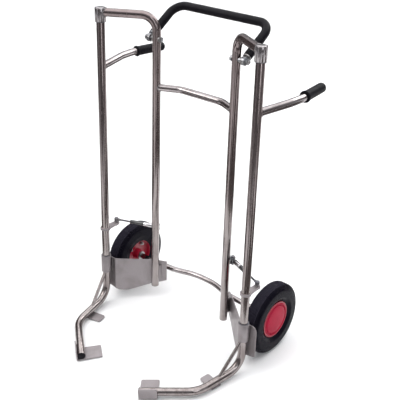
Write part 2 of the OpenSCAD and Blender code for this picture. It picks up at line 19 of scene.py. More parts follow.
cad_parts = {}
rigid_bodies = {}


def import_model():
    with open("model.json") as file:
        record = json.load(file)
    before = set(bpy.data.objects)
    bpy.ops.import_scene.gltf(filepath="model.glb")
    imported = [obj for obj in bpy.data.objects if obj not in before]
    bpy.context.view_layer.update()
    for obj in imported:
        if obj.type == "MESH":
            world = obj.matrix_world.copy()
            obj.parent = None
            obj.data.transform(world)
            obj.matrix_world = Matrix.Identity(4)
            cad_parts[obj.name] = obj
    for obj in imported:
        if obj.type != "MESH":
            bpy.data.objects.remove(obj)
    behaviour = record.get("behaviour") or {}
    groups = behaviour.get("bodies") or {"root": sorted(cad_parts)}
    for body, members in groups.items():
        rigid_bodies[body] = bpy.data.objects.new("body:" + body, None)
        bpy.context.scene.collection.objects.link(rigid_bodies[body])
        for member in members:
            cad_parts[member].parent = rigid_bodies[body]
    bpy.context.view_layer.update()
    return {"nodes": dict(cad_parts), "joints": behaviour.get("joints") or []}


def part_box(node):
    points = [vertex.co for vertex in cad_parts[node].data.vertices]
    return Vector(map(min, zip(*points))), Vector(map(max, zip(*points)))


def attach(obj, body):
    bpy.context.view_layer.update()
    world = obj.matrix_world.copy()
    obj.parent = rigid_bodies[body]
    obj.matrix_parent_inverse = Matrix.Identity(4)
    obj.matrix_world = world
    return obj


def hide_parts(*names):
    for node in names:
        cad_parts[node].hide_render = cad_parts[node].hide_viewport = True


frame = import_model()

LOG = logging.getLogger("hand_truck")
MM = 0.001
SMOOTH = math.radians(32)
COPE_GAP = 0.2
ACROSS = Vector((1, 0, 0))
Piece = bpy.types.Object
Colour = tuple[float, float, float]
Profile = list[tuple[float, float]]


class Side(Enum):
    """A side of the truck, seen by the person behind the push handle."""

    LEFT = "left"
    RIGHT = "right"


class Keep(Enum):
    """The part of a piece that a cut keeps."""

    OUTSIDE = "DIFFERENCE"
    INSIDE = "INTERSECT"


@dataclass(frozen=True)
class Stance:
    """How the upright axes of the truck stand on the floor.

    Attributes:
        origin: the upright frame's zero, in metres.
        back: the way that upright Y points.
        up: the way that upright Z points.
    """

    origin: Vector
    back: Vector
    up: Vector

    @classmethod
    def of_frame(cls, axle_y: float) -> "Stance":
        """Reads the stance from the frame's own joints.

        Args:
            axle_y: distance from the pivot tubes back to the axle, in millimetres.

        Returns:
            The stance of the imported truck.
        """
        joints = {joint["name"]: joint for joint in frame["joints"]}
        up = Vector(joints["right_arm_swing"]["axis"]).normalized()
        back = up.cross(ACROSS).normalized()
        axle = Vector(joints["right_wheel_spin"]["pos_m"])
        low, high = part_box("right_tyre")
        wheel_r = (high.z - low.z) / 2
        return cls(Vector((0, axle.y, axle.z)) - back * axle_y * MM - up * wheel_r, back, up)

    def at(self, x: float, y: float, z: float) -> Vector:
        """Returns the place in the floor frame of an upright point in millimetres."""
        return self.origin + (Vector((x, 0, 0)) + self.back * y + self.up * z) * MM

    def way(self, x: float, y: float, z: float) -> Vector:
        """Returns an upright direction, turned into the floor frame."""
        return (Vector((x, 0, 0)) + self.back * y + self.up * z).normalized()

    def on_floor(self, x: float, y: float, height: float) -> Vector:
        """Returns the point of an upright line at x and y that is a height above the floor."""
        foot = self.at(x, y, 0)
        return foot + self.up * ((height * MM - foot.z) / self.up.z)


@dataclass(frozen=True)
class Truck:
    """The driving sizes that the sub-assemblies share, in millimetres."""

    pivot_x: float = 327.0
    rear_x: float = 166.0
    rear_y: float = 98.0
    tube_d: float = 28.0
    wall: float = 2.0
    sleeve_d: float = 37.0
    bush_d: float = 32.5
    top_run_z: float = 1090.0
    cross: tuple[float, float, float] = (88.0, 136.0, 850.0)
    cross_d: float = 24.0
    lever: tuple[tuple[float, float, float], ...] = ((327, 0, 906), (357, 125, 915), (361, 176, 917),
                                                     (345, 300, 918))
    lever_d: float = 25.0
    hinge_z: float = 1014.0
    axle_y: float = 155.0
    axle_z: float = 128.0
    wheel_x: float = 326.0
    rib_pitch: float = 4.6
    spring_pin: tuple[float, float, float] = (177.0, 121.0, 309.0)


TRUCK = Truck()
STANCE = Stance.of_frame(TRUCK.axle_y)
HUB = STANCE.at(TRUCK.wheel_x, TRUCK.axle_y, TRUCK.axle_z)


# Modelling


def deselect() -> None:
    """Leaves object mode with nothing selected."""
    if bpy.context.object and bpy.context.object.mode != "OBJECT":
        bpy.ops.object.mode_set(mode="OBJECT")
    for thing in bpy.context.view_layer.objects:
        thing.select_set(False)


def pick(piece: Piece) -> None:
    """Makes a piece the only selected and active one."""
    deselect()
    piece.select_set(True)
    bpy.context.view_layer.objects.active = piece


def rename(piece: Piece, name: str) -> Piece:
    """Names a piece and its mesh, and returns the piece."""
    piece.name = piece.data.name = name
    return piece


def settle(name: str) -> Piece:
    """Names the primitive just added, moves its place into its mesh, and returns it."""
    bpy.ops.object.transform_apply(location=True, rotation=True, scale=True)
    return rename(bpy.context.object, name)


def shade(piece: Piece, angle: float = SMOOTH) -> Piece:
    """Shades a piece smooth up to a limiting angle, and returns it."""
    pick(piece)
    bpy.ops.object.shade_smooth_by_angle(angle=angle)
    return piece


def edit(piece: Piece) -> None:
    """Opens a piece in edit mode with its whole mesh selected."""
    pick(piece)
    bpy.ops.object.mode_set(mode="EDIT")
    bpy.ops.mesh.select_all(action="SELECT")


def modify(piece: Piece, kind: str, **settings: object) -> None:
    """Adds one modifier to a piece and applies it.

    Args:
        piece: the piece.
        kind: Blender's modifier type.
        **settings: its settings.
    """
    pick(piece)
    step = piece.modifiers.new(kind.lower(), kind)
    for key, value in settings.items():
        setattr(step, key, value)
    bpy.ops.object.modifier_apply(modifier=step.name)


def soften(piece: Piece, width: float, segments: int = 2) -> Piece:
    """Rounds a piece's sharp edges.

    Args:
        piece: the piece.
        width: width of the rounding in millimetres.
        segments: faces across it.

    Returns:
        The same piece.
    """
    modify(piece, "BEVEL", width=width * MM, segments=segments, limit_method="ANGLE",
           angle_limit=math.radians(38), harden_normals=False, use_clamp_overlap=True)
    return shade(piece)


def cut(piece: Piece, tool: Piece, keep: Keep = Keep.OUTSIDE) -> Piece:
    """Cuts a piece along the surface of a tool and removes the tool.

    Args:
        piece: the piece.
        tool: a closed solid.
        keep: the part that stays.

    Returns:
        The same piece.
    """
    modify(piece, "BOOLEAN", operation=keep.value, object=tool, solver="EXACT")
    bpy.data.objects.remove(tool)
    return shade(piece)


def joined(name: str, pieces: Sequence[Piece]) -> Piece:
    """Joins pieces into the first one, names it and returns it."""
    pick(pieces[0])
    for piece in pieces:
        piece.select_set(True)
    bpy.ops.object.join()
    return rename(pieces[0], name)


def mirror_image(piece: Piece, name: str) -> Piece:
    """Copies a piece with its own mesh, mirrored across the middle of the truck.

    Args:
        piece: the piece on the right.
        name: the copy's name.

    Returns:
        The copy.
    """
    twin = piece.copy()
    twin.data = piece.data.copy()
    bpy.context.scene.collection.objects.link(twin)
    twin.data.transform(Matrix.Scale(-1, 4, ACROSS))
    twin.data.flip_normals()
    return rename(twin, name)


def cylinder(name: str, start: Vector, end: Vector, diameter: float, sides: int = 48) -> Piece:
    """Adds a closed cylinder between two points.

    Args:
        name: its name.
        start: the middle of one end.
        end: the middle of the other.
        diameter: its diameter in millimetres.
        sides: faces round it.

    Returns:
        The cylinder.
    """
    deselect()
    axis = end - start
    bpy.ops.mesh.primitive_cylinder_add(
        vertices=sides, radius=diameter * MM / 2, depth=axis.length, location=(start + end) / 2,
        rotation=axis.to_track_quat("Z", "Y").to_euler())
    return settle(name)


def fillet(corners: Sequence[tuple[float, float, float]], steps: int = 5) -> Profile:
    """Rounds the corners of a closed outline.

    Args:
        corners: each corner as x, y and radius, all in millimetres.
        steps: faces in each round.

    Returns:
        The rounded outline.
    """
    points: Profile = []
    for i, (x, y, radius) in enumerate(corners):
        corner = Vector((x, y))
        if radius <= 0:
            points.append((x, y))
            continue
        to_last = (Vector(corners[i - 1][:2]) - corner).normalized()
        to_next = (Vector(corners[(i + 1) % len(corners)][:2]) - corner).normalized()
        half = to_last.angle(to_next) / 2
        reach = radius / math.tan(half)
        centre = corner + (to_last + to_next).normalized() * (radius / math.sin(half))
        first = corner + to_last * reach - centre
        turn = first.angle_signed(corner + to_next * reach - centre)
        for step in range(steps + 1):
            spoke = first.copy()
            spoke.rotate(Matrix.Rotation(-turn * step / steps, 2))
            points.append(tuple(centre + spoke))
    return points


def spun(name: str, profile: Profile, base: Vector, axis: Vector, steps: int = 48) -> Piece:
    """Spins a closed profile round an axis.

    Args:
        name: the piece's name.
        profile: points as distance from the axis and distance along it, in millimetres.
        base: the axis's zero.
        axis: the way along it.
        steps: faces round the axis.

    Returns:
        A closed piece with its normals outwards.
    """
    deselect()
    bpy.ops.mesh.primitive_circle_add(vertices=len(profile), radius=1.0, fill_type="NOTHING")
    piece = settle(name)
    axis = axis.normalized()
    out = axis.orthogonal().normalized()
    for vertex, (radius, along) in zip(piece.data.vertices, profile):
        vertex.co = base + (out * radius + axis * along) * MM
    edit(piece)
    bpy.ops.mesh.spin(steps=steps, angle=math.tau, center=base, axis=axis, use_auto_merge=True)
    bpy.ops.mesh.select_all(action="SELECT")
    bpy.ops.mesh.remove_doubles(threshold=2e-6)
    bpy.ops.mesh.delete_loose()
    bpy.ops.mesh.select_all(action="SELECT")
    bpy.ops.mesh.normals_make_consistent(inside=False)
    return shade(piece)


@dataclass
class TubeRoute:
    """The centre line of a bent tube.

    Attributes:
        points: its ends and the corners between them, in the floor frame.
        radii: the bend radius at each point, in millimetres.
    """

    points: list[Vector]
    radii: list[float]

    def heading(self, i: int) -> Vector:
        """Returns the way from point i to the next one."""
        return (self.points[i + 1] - self.points[i]).normalized()

    def set_back(self, i: int) -> float:
        """Returns how far before corner i its bend starts, in metres."""
        if i in (0, len(self.points) - 1):
            return 0.0
        return self.radii[i] * MM * math.tan(self.heading(i - 1).angle(self.heading(i)) / 2)


def tube(name: str, route: TubeRoute, diameter: float, wall: float = TRUCK.wall, sides: int = 48) -> Piece:
    """Bends a tube along a route, as a tube bender does: straight, spin, straight.

    Args:
        name: the piece's name.
        route: its centre line.
        diameter: outside diameter in millimetres.
        wall: wall in millimetres, or 0 for a solid bar.
        sides: faces round the tube.

    Returns:
        A closed piece with its normals outwards.
    """
    bend_step = math.radians(5)
    here = route.points[0]
    deselect()
    bpy.ops.mesh.primitive_circle_add(
        vertices=sides, radius=diameter * MM / 2, fill_type="NOTHING", location=here,
        rotation=route.heading(0).to_track_quat("Z", "Y").to_euler())
    piece = settle(name)
    edit(piece)
    last = len(route.points) - 2
    for i in range(last + 1):
        way = route.heading(i)
        end = route.points[i + 1] - way * route.set_back(i + 1)
        bpy.ops.mesh.extrude_region_move(TRANSFORM_OT_translate={"value": end - here})
        if i < last:
            onward = route.heading(i + 1)
            turn = way.angle(onward)
            axis = way.cross(onward).normalized()
            bpy.ops.mesh.spin(steps=max(3, round(turn / bend_step)), angle=-turn, axis=axis,
                              center=end + axis.cross(way) * route.radii[i + 1] * MM)
            here = route.points[i + 1] + onward * route.set_back(i + 1)
    bpy.ops.mesh.select_all(action="SELECT")
    bpy.ops.mesh.normals_make_consistent(inside=False)
    bpy.ops.object.mode_set(mode="OBJECT")
    face = piece.data.polygons[0]
    spoke = face.center - route.points[0]
    spoke -= route.heading(0) * spoke.dot(route.heading(0))
    if face.normal.dot(spoke) < 0:
        piece.data.flip_normals()
    if wall > 0:
        modify(piece, "SOLIDIFY", thickness=wall * MM, offset=-1, use_rim=True, use_even_offset=True)
    else:
        edit(piece)
        bpy.ops.mesh.select_all(action="DESELECT")
        bpy.ops.mesh.select_non_manifold()
        bpy.ops.mesh.edge_face_add()
        shade(piece)
    return soften(piece, 0.4)


def coped(piece: Piece, x: float, y: float, low: float, high: float, post_d: float, sides: int = 48) -> Piece:
    """Copes a piece round an upright post.

    Args:
        piece: the piece.
        x: the post's place across the truck, in millimetres.
        y: its place from front to back.
        low: height at which the cut starts.
        high: height at which it ends.
        post_d: the post's diameter.
        sides: faces round the cut.

    Returns:
        The same piece.
    """
    return cut(piece, cylinder("cope", STANCE.at(x, y, low), STANCE.at(x, y, high), post_d - COPE_GAP, sides))


def weld_bead(base: Vector, axis: Vector, radius: float, size: float,
              main_r: Optional[float] = None) -> Piece:
    """Lays a rippled weld bead round a joint.

    Args:
        base: the middle of the joint, or a point on the upright main tube's axis when there is one.
        axis: the way the branch tube leaves.
        radius: radius of the branch tube in millimetres.
        size: radius of the bead in millimetres.
        main_r: radius of the upright main tube, when the bead runs round a saddle on it.

    Returns:
        The bead.
    """
    ripples = 26
    deselect()
    bpy.ops.mesh.primitive_torus_add(
        major_segments=ripples * 4, minor_segments=8, major_radius=radius * MM, minor_radius=size * MM,
        location=base, rotation=axis.to_track_quat("Z", "Y").to_euler())
    piece = settle("bead")
    axis = axis.normalized()
    side = axis.orthogonal().normalized()
    for vertex in piece.data.vertices:
        spoke = vertex.co - base
        out = (spoke - axis * spoke.dot(axis)).normalized()
        turn = math.atan2(out.dot(side.cross(axis)), out.dot(side))
        centre = base + out * radius * MM
        swell = 1.0 + 0.16 * math.sin(turn * ripples) + 0.1 * math.sin(turn * 3 + radius)
        vertex.co = centre + (vertex.co - centre) * swell
        if main_r is not None:
            across = axis.cross(STANCE.up).normalized()
            reach = min(abs(out.dot(across)) * radius, main_r * 0.995)
            vertex.co += axis * math.sqrt(main_r ** 2 - reach ** 2) * MM
    return shade(piece, math.radians(60))


def seam(start: Vector, end: Vector, size: float) -> Piece:
    """Lays a straight rippled weld bead.

    Args:
        start: one end.
        end: the other end.
        size: its radius in millimetres.

    Returns:
        The bead.
    """
    length = (end - start).length / MM
    count = max(4, round(length / 2.4)) * 4
    profile: Profile = [(0.0, 0.0)]
    for i in range(1, count):
        share = i / count
        swell = 1 + 0.14 * math.sin(share * count * math.pi / 2) + 0.08 * math.sin(share * 9)
        ends = min(1.0, share * length / size, (1 - share) * length / size)
        profile.append((size * swell * math.sqrt(max(0.02, 1 - (1 - ends) ** 2)), share * length))
    return spun("bead", profile + [(0.0, length)], start, end - start, 12)


def hexagon(base: Vector, axis: Vector, across: float, height: float) -> Piece:
    """Makes a bolt head or nut with chamfered corners.

    Args:
        base: the middle of its seat.
        axis: the way out of the seat.
        across: its width across flats in millimetres.
        height: its height in millimetres.

    Returns:
        The head.
    """
    corner = across / math.sqrt(3)
    prism = soften(cylinder("head", base, base + axis * height * MM, corner * 2, 6), 0.5, 3)
    lens = [(0, -0.5), (corner * 1.1, -0.5), (corner * 1.1, height - across * 0.1), (across * 0.46, height),
            (across * 0.40, height + 0.02), (0, height + 0.02)]
    return cut(prism, spun("chamfer", lens, base, axis), Keep.INSIDE)


def washer(base: Vector, axis: Vector, outer: float, inner: float, height: float) -> Piece:
    """Makes a washer or spacer.

    Args:
        base: the middle of its seat.
        axis: the way out of the seat.
        outer: its outer diameter in millimetres.
        inner: its inner diameter.
        height: its height.

    Returns:
        The washer.
    """
    profile = [(inner / 2, 0, 0.2), (outer / 2, 0, 0.3), (outer / 2, height, 0.3), (inner / 2, height, 0.2)]
    return spun("washer", fillet(profile, 2), base, axis)


def fused_copy(node: str, name: str) -> Piece:
    """Copies a CAD node's mesh and merges its loose triangles into clean faces.

    Args:
        node: the node.
        name: the copy's name.

    Returns:
        The copy.
    """
    piece = bpy.data.objects.new(name, frame["nodes"][node].data.copy())
    bpy.context.scene.collection.objects.link(piece)
    edit(rename(piece, name))
    if piece.data.has_custom_normals:
        bpy.ops.mesh.customdata_custom_splitnormals_clear()
    bpy.ops.mesh.remove_doubles(threshold=4e-6)
    bpy.ops.mesh.dissolve_limited(angle_limit=math.radians(0.6))
    return shade(piece)


# Shaders

Value = Union["Sock", float]


class Sock:
    """A shader socket that takes part in Python arithmetic."""

    def __init__(self, shader: "Nodes", socket: bpy.types.NodeSocket) -> None:
        """Wraps an output socket of a shader's node."""
        self.shader = shader
        self.socket = socket

    def _math(self, operation: str, first: Value, second: Value = 0.0) -> "Sock":
        """Adds a Math node and returns its result."""
        return self.shader.node("Math", {0: first, 1: second}, operation=operation)

    def __add__(self, other: Value) -> "Sock":
        """Returns self + other."""
        return self._math("ADD", self, other)

    def __sub__(self, other: Value) -> "Sock":
        """Returns self - other."""
        return self._math("SUBTRACT", self, other)

    def __rsub__(self, other: Value) -> "Sock":
        """Returns other - self."""
        return self._math("SUBTRACT", other, self)

    def __mul__(self, other: Value) -> "Sock":
        """Returns self * other."""
        return self._math("MULTIPLY", self, other)

    __radd__ = __add__
    __rmul__ = __mul__

    def sine(self) -> "Sock":
        """Returns the sine of self."""
        return self._math("SINE", self)

    def size(self) -> "Sock":
        """Returns self without its sign."""
        return self._math("ABSOLUTE", self)

    def above(self, low: float, high: float) -> "Sock":
        """Returns 0 below low, 1 above high and a smooth rise between them."""
        return self.shader.node("MapRange", {"Value": self, "From Min": low, "From Max": high},
                                interpolation_type="SMOOTHSTEP")


class Nodes:
    """A node tree under construction."""

    def __init__(self, tree: bpy.types.NodeTree, coordinates: str) -> None:
        """Starts on a tree.

        Args:
            tree: the tree of a material or a world.
            coordinates: the texture coordinates that its patterns use.
        """
        self.tree = tree
        self.place = self.node("TexCoord", {}, coordinates)

    def put(self, socket: bpy.types.NodeSocket, value: object) -> None:
        """Sets an input socket, or links a Sock to it."""
        if isinstance(value, Sock):
            self.tree.links.new(value.socket, socket)
        else:
            socket.default_value = value

    def node(self, kind: str, inputs: dict[Union[int, str], object], output: Union[int, str] = 0,
             **settings: object) -> Sock:
        """Adds a node.

        Args:
            kind: Blender's node type, without its prefix.
            inputs: values or Socks, by the input's name or index.
            output: the name or index of the output that is wanted.
            **settings: the node's attributes, set before its inputs.

        Returns:
            That output.
        """
        node = self.tree.nodes.new("ShaderNode" + kind)
        for key, value in settings.items():
            setattr(node, key, value)
        for key, value in inputs.items():
            self.put(node.inputs[key], value)
        return Sock(self, node.outputs[output])

    def stretched(self, scale: Sequence[float], turn: Sequence[float] = (0, 0, 0)) -> Sock:
        """Returns the coordinates, turned and scaled."""
        return self.node("Mapping", {"Vector": self.place, "Scale": tuple(scale), "Rotation": tuple(turn)})

    def noise(self, scale: float, detail: float, roughness: float = 0.55, at: Optional[Sock] = None,
              distortion: float = 0.0) -> Sock:
        """Returns a noise between about 0.2 and 0.8."""
        return self.node("TexNoise", {"Vector": at or self.place, "Scale": scale, "Detail": detail,
                                      "Roughness": roughness, "Distortion": distortion}, "Fac")

    def cells(self, scale: float) -> Sock:
        """Returns the distance to the nearest point of a cell pattern."""
        return self.node("TexVoronoi", {"Vector": self.place, "Scale": scale}, "Distance")

    def blend(self, factor: Value, first: Union[Sock, Colour], second: Union[Sock, Colour]) -> Sock:
        """Mixes two colours."""
        pair = [c if isinstance(c, Sock) else (*c, 1.0) for c in (first, second)]
        return self.node("Mix", {0: factor, 6: pair[0], 7: pair[1]}, 2, data_type="RGBA")

    def coordinate(self, axis: str) -> Sock:
        """Returns one of the coordinates."""
        return self.node("SeparateXYZ", {0: self.place}, axis)

    def off_axle(self) -> Sock:
        """Returns the distance from the axle, in metres."""
        offset = self.node("VectorMath", {0: self.place, 1: tuple(HUB)}, operation="SUBTRACT")
        flat = self.node("VectorMath", {0: offset, 1: (0.0, 1.0, 1.0)}, operation="MULTIPLY")
        return self.node("VectorMath", {0: flat}, "Value", operation="LENGTH")

    def rings(self, pitch: float) -> Sock:
        """Returns waves from 0 to 1 round the axle, a pitch in millimetres apart."""
        return (self.off_axle() * (math.tau / (pitch * MM))).sine() * 0.5 + 0.5


class Shader(Nodes):
    """A material under construction."""

    def __init__(self, name: str) -> None:
        """Starts a material with a Principled shader."""
        self.material = bpy.data.materials.new(name)
        self.material.use_nodes = True
        self.surface = self.material.node_tree.nodes["Principled BSDF"]
        super().__init__(self.material.node_tree, "Object")

    def feed(self, **values: object) -> None:
        """Sets or links the surface's inputs, with _ for a space in a name."""
        for key, value in values.items():
            self.put(self.surface.inputs[key.replace("_", " ")], value)

    def relief(self, height: Sock, depth: float, strength: float) -> None:
        """Links a bump of a depth in millimetres to the surface's normal."""
        self.feed(Normal=self.node("Bump", {"Strength": strength, "Distance": depth * MM, "Height": height}))


def dimmed(tone: Colour, share: float) -> Colour:
    """Returns a darker shade of a colour."""
    return tuple(c * share for c in tone)


# Finishes


@dataclass(frozen=True)
class Finish:
    """A finish of the truck or its studio.

    Attributes:
        name: its material's name.
        tone: its main colour.
    """

    name: str
    tone: Colour

    def dress(self, shader: Shader) -> None:
        """Gives a new material this finish."""
        raise NotImplementedError

    def material(self) -> bpy.types.Material:
        """Returns the finish's material, which is built at its first use."""
        if self.name not in bpy.data.materials:
            self.dress(Shader(self.name))
        return bpy.data.materials[self.name]


@dataclass(frozen=True)
class BrightPlate(Finish):
    """Bright plating over drawn tube, with polishing streaks along it, haze and a few scratches.

    Attributes:
        haze: its colour where hazed or stained.
        shine: its lowest roughness.
        streak: scale of the streaks along X, Y and Z.
        tan: how much darker and browner it is painted towards the top of the truck, from 0 to 1, a painted
            shade.
    """

    haze: Colour
    shine: float
    streak: tuple[float, float, float]
    tan: float = 0.0

    def dress(self, shader: Shader) -> None:
        """Gives a new material this finish."""
        streaks = shader.noise(1.0, 3.0, 0.5, shader.stretched(self.streak))
        clouds = shader.noise(9.0, 5.0, 0.6, distortion=0.6)
        specks = shader.noise(900.0, 2.0, 0.5).above(0.66, 0.74)
        scratch = shader.noise(1.0, 3.0, 0.5, shader.stretched(dimmed(self.streak, 3.2))).above(0.62, 0.68)
        worn = (clouds * 0.7 + streaks * 0.5).above(0.5, 0.8)
        # Painted shade: towards the top of the truck the plating is painted darker and browner, standing in
        # for the darker reflections that the upper tubes pick up.
        high = shader.coordinate("Z").above(0.25, 0.95) * self.tan
        shaded_brown = tuple(c * k for c, k in zip(self.tone, (0.72, 0.66, 0.67)))
        tint = shader.blend(worn * 0.8, shader.blend(high, self.tone, shaded_brown), self.haze)
        dark = shader.blend(specks * 0.1 + scratch * 0.08, tint, (0.12, 0.10, 0.10))
        shader.feed(Base_Color=dark, Metallic=1.0,
                    Roughness=streaks * 0.08 + worn * 0.1 + scratch * 0.1 + (self.shine - 0.05))
        shader.relief(streaks * 0.4 + scratch * -0.3 + shader.noise(45.0, 2.0) * 0.6, 0.012, 0.25)


@dataclass(frozen=True)
class SatinSheet(Finish):
    """Plated sheet steel with a satin, faintly rolled surface and dull stains.

    Attributes:
        stain: the colour of its stains.
    """

    stain: Colour

    def dress(self, shader: Shader) -> None:
        """Gives a new material this finish."""
        rolled = shader.noise(1.0, 5.0, 0.65, shader.stretched((35.0, 35.0, 900.0)))
        clouds = shader.noise(14.0, 6.0, 0.62, distortion=0.8)
        stains = shader.noise(38.0, 4.0, 0.7).above(0.56, 0.72)
        scuffed = shader.stretched((160.0, 40.0, 25.0), (0.3, 0.5, 0.2))
        scuffs = shader.noise(1.0, 4.0, 0.6, scuffed).above(0.66, 0.74)
        colour = shader.blend(clouds.above(0.35, 0.7) * 0.55, self.tone, self.stain)
        shader.feed(Base_Color=shader.blend(scuffs * 0.2, colour, (0.5, 0.48, 0.48)), Metallic=0.7,
                    Roughness=rolled * 0.12 + stains * 0.1 + clouds * 0.12 + 0.3)
        shader.relief(rolled * 0.6 + scuffs * -0.6 + clouds * 0.8, 0.06, 0.7)


@dataclass(frozen=True)
class ZincPlate(Finish):
    """Bright zinc on bolts and fittings, with a faint warm and cool bloom and small pits.

    Attributes:
        cool: the cooler of its two tones.
        rough: its lowest roughness.
    """

    cool: Colour
    rough: float

    def dress(self, shader: Shader) -> None:
        """Gives a new material this finish."""
        bloom = shader.noise(42.0, 4.0, 0.6, distortion=0.4)
        grain = shader.noise(520.0, 3.0, 0.6)
        pits = shader.cells(260.0).above(0.12, 0.22)
        colour = shader.blend(bloom.above(0.3, 0.7), self.tone, self.cool)
        shader.feed(Base_Color=shader.blend((1 - pits) * 0.4, colour, (0.24, 0.22, 0.2)), Metallic=1.0,
                    Roughness=bloom * 0.2 + grain * 0.12 + (self.rough - 0.1))
        shader.relief(grain * 0.5 + pits * 0.5, 0.04, 0.7)


@dataclass(frozen=True)
class Paint(Finish):
    """Gloss paint with orange peel and small chips down to a darker coat.

    Attributes:
        chip: the colour under it.
        gloss: its coat weight.
        rough: its lowest roughness.
    """

    chip: Colour
    gloss: float
    rough: float

    def dress(self, shader: Shader) -> None:
        """Gives a new material this finish."""
        peel = shader.noise(420.0, 2.0, 0.4)
        clouds = shader.noise(26.0, 5.0, 0.6)
        chips = shader.noise(150.0, 3.0, 0.6).above(0.7, 0.73)
        colour = shader.blend(clouds.above(0.35, 0.7) * 0.6, self.tone, dimmed(self.tone, 0.72))
        shader.feed(Base_Color=shader.blend(chips * 0.8, colour, self.chip), Metallic=0.0,
                    Roughness=clouds * 0.14 + chips * 0.3 + (self.rough - 0.05), Coat_Weight=self.gloss,
                    Coat_Roughness=0.12)
        shader.relief(peel * 0.6 - chips * 0.8, 0.05, 0.5)


@dataclass(frozen=True)
class MouldedRubber(Finish):
    """Moulded rubber or soft sleeve with a fine pebble grain, rubbed smoother in places.

    Attributes:
        dust: the colour of the dust in its grain.
        grain: scale of the grain.
        depth: depth of the grain in millimetres.
    """

    dust: Colour
    grain: float
    depth: float

    def dress(self, shader: Shader) -> None:
        """Gives a new material this finish."""
        pebble = shader.cells(self.grain).above(0.05, 0.6)
        fine = shader.noise(self.grain * 1.7, 3.0, 0.6)
        rubbed = shader.noise(20.0, 4.0, 0.6).above(0.4, 0.7)
        shader.feed(Base_Color=shader.blend((1 - pebble) * 0.35 + rubbed * 0.3, self.tone, self.dust),
                    Roughness=rubbed * -0.14 + fine * 0.16 + 0.42, Specular_IOR_Level=0.1)
        shader.relief(pebble + fine * 0.4, self.depth, 0.8)


@dataclass(frozen=True)
class TyreRubber(Finish):
    """Tyre rubber with moulding rings on its side walls, scuffed treads, grey dust and painted highlights on
    its tread ribs.

    Attributes:
        dust: the colour of its dust.
        rib_highlight: a lighter colour painted on the crests of the tread ribs, a painted highlight.
    """

    dust: Colour
    rib_highlight: Colour

    def dress(self, shader: Shader) -> None:
        """Gives a new material this finish."""
        radius, pitch = TRUCK.axle_z, TRUCK.rib_pitch
        rings = shader.rings(2.4)
        wall = 1 - shader.off_axle().above((radius - 16) * MM, (radius - 9) * MM)
        dust = shader.noise(18.0, 6.0, 0.65, distortion=0.5).above(0.42, 0.72)
        fine = shader.noise(700.0, 3.0, 0.6)
        scuff = (1 - wall) * shader.noise(90.0, 4.0, 0.7).above(0.45, 0.7)
        offset = shader.coordinate("X").size() - HUB.x
        crest = (offset * (math.tau / (pitch * MM)) + math.pi / 2).sine().above(-0.2, 0.5)
        tread = (1 - wall) * (1 - offset.size().above(17 * MM, 21 * MM))
        colour = shader.blend(dust * 0.4 + scuff * 0.2, self.tone, self.dust)
        # Painted highlight: the tread ribs between the grooves are painted in a lighter colour, standing in
        # for the highlights that they catch.
        shader.feed(Base_Color=shader.blend((1 - crest) * tread * 0.8, colour, self.rib_highlight),
                    Roughness=dust * 0.2 + fine * 0.1 + 0.2, Specular_IOR_Level=0.05)
        shader.relief(rings * wall * 0.8 + fine * 0.4, 0.22, 0.7)


@dataclass(frozen=True)
class CapPlastic(Finish):
    """Moulded plastic with turned flow rings and fine scratches."""

    def dress(self, shader: Shader) -> None:
        """Gives a new material this finish."""
        clouds = shader.noise(30.0, 5.0, 0.6)
        scratched = shader.stretched((30.0, 160.0, 50.0), (0.4, 0.1, 0.3))
        scratch = shader.noise(1.0, 4.0, 0.6, scratched).above(0.67, 0.72)
        colour = shader.blend(clouds.above(0.35, 0.7) * 0.5, self.tone, dimmed(self.tone, 0.7))
        shader.feed(Base_Color=shader.blend(scratch * 0.1, colour, (0.6, 0.12, 0.16)),
                    Roughness=clouds * 0.12 + scratch * 0.14 + 0.34, Specular_IOR_Level=0.12,
                    Coat_Weight=0.02, Coat_Roughness=0.2)
        shader.relief(shader.rings(0.9) * 0.25 + scratch * -0.5 + clouds * 0.6, 0.05, 0.5)


@dataclass(frozen=True)
class Card(Finish):
    """A plain pale or dark surface of the studio, with a faint mottle."""

    def dress(self, shader: Shader) -> None:
        """Gives a new material this finish."""
        mottle = shader.noise(3.0, 3.0, 0.5)
        shader.feed(Base_Color=shader.blend(mottle, self.tone, dimmed(self.tone, 0.985)),
                    Roughness=mottle * 0.04 + 0.8, Specular_IOR_Level=0.2)


@dataclass(frozen=True)
class LitCloth(Finish):
    """Cloth that glows as a lit studio wall does."""

    def dress(self, shader: Shader) -> None:
        """Gives a new material this finish."""
        mottle = shader.noise(0.4, 2.0, 0.5)
        shader.feed(Base_Color=(0.0, 0.0, 0.0, 1.0), Emission_Strength=1.0, Specular_IOR_Level=0.0,
                    Emission_Color=shader.blend(mottle, self.tone, (0.83, 0.83, 0.84)),
                    Roughness=mottle * 0.05 + 0.9)


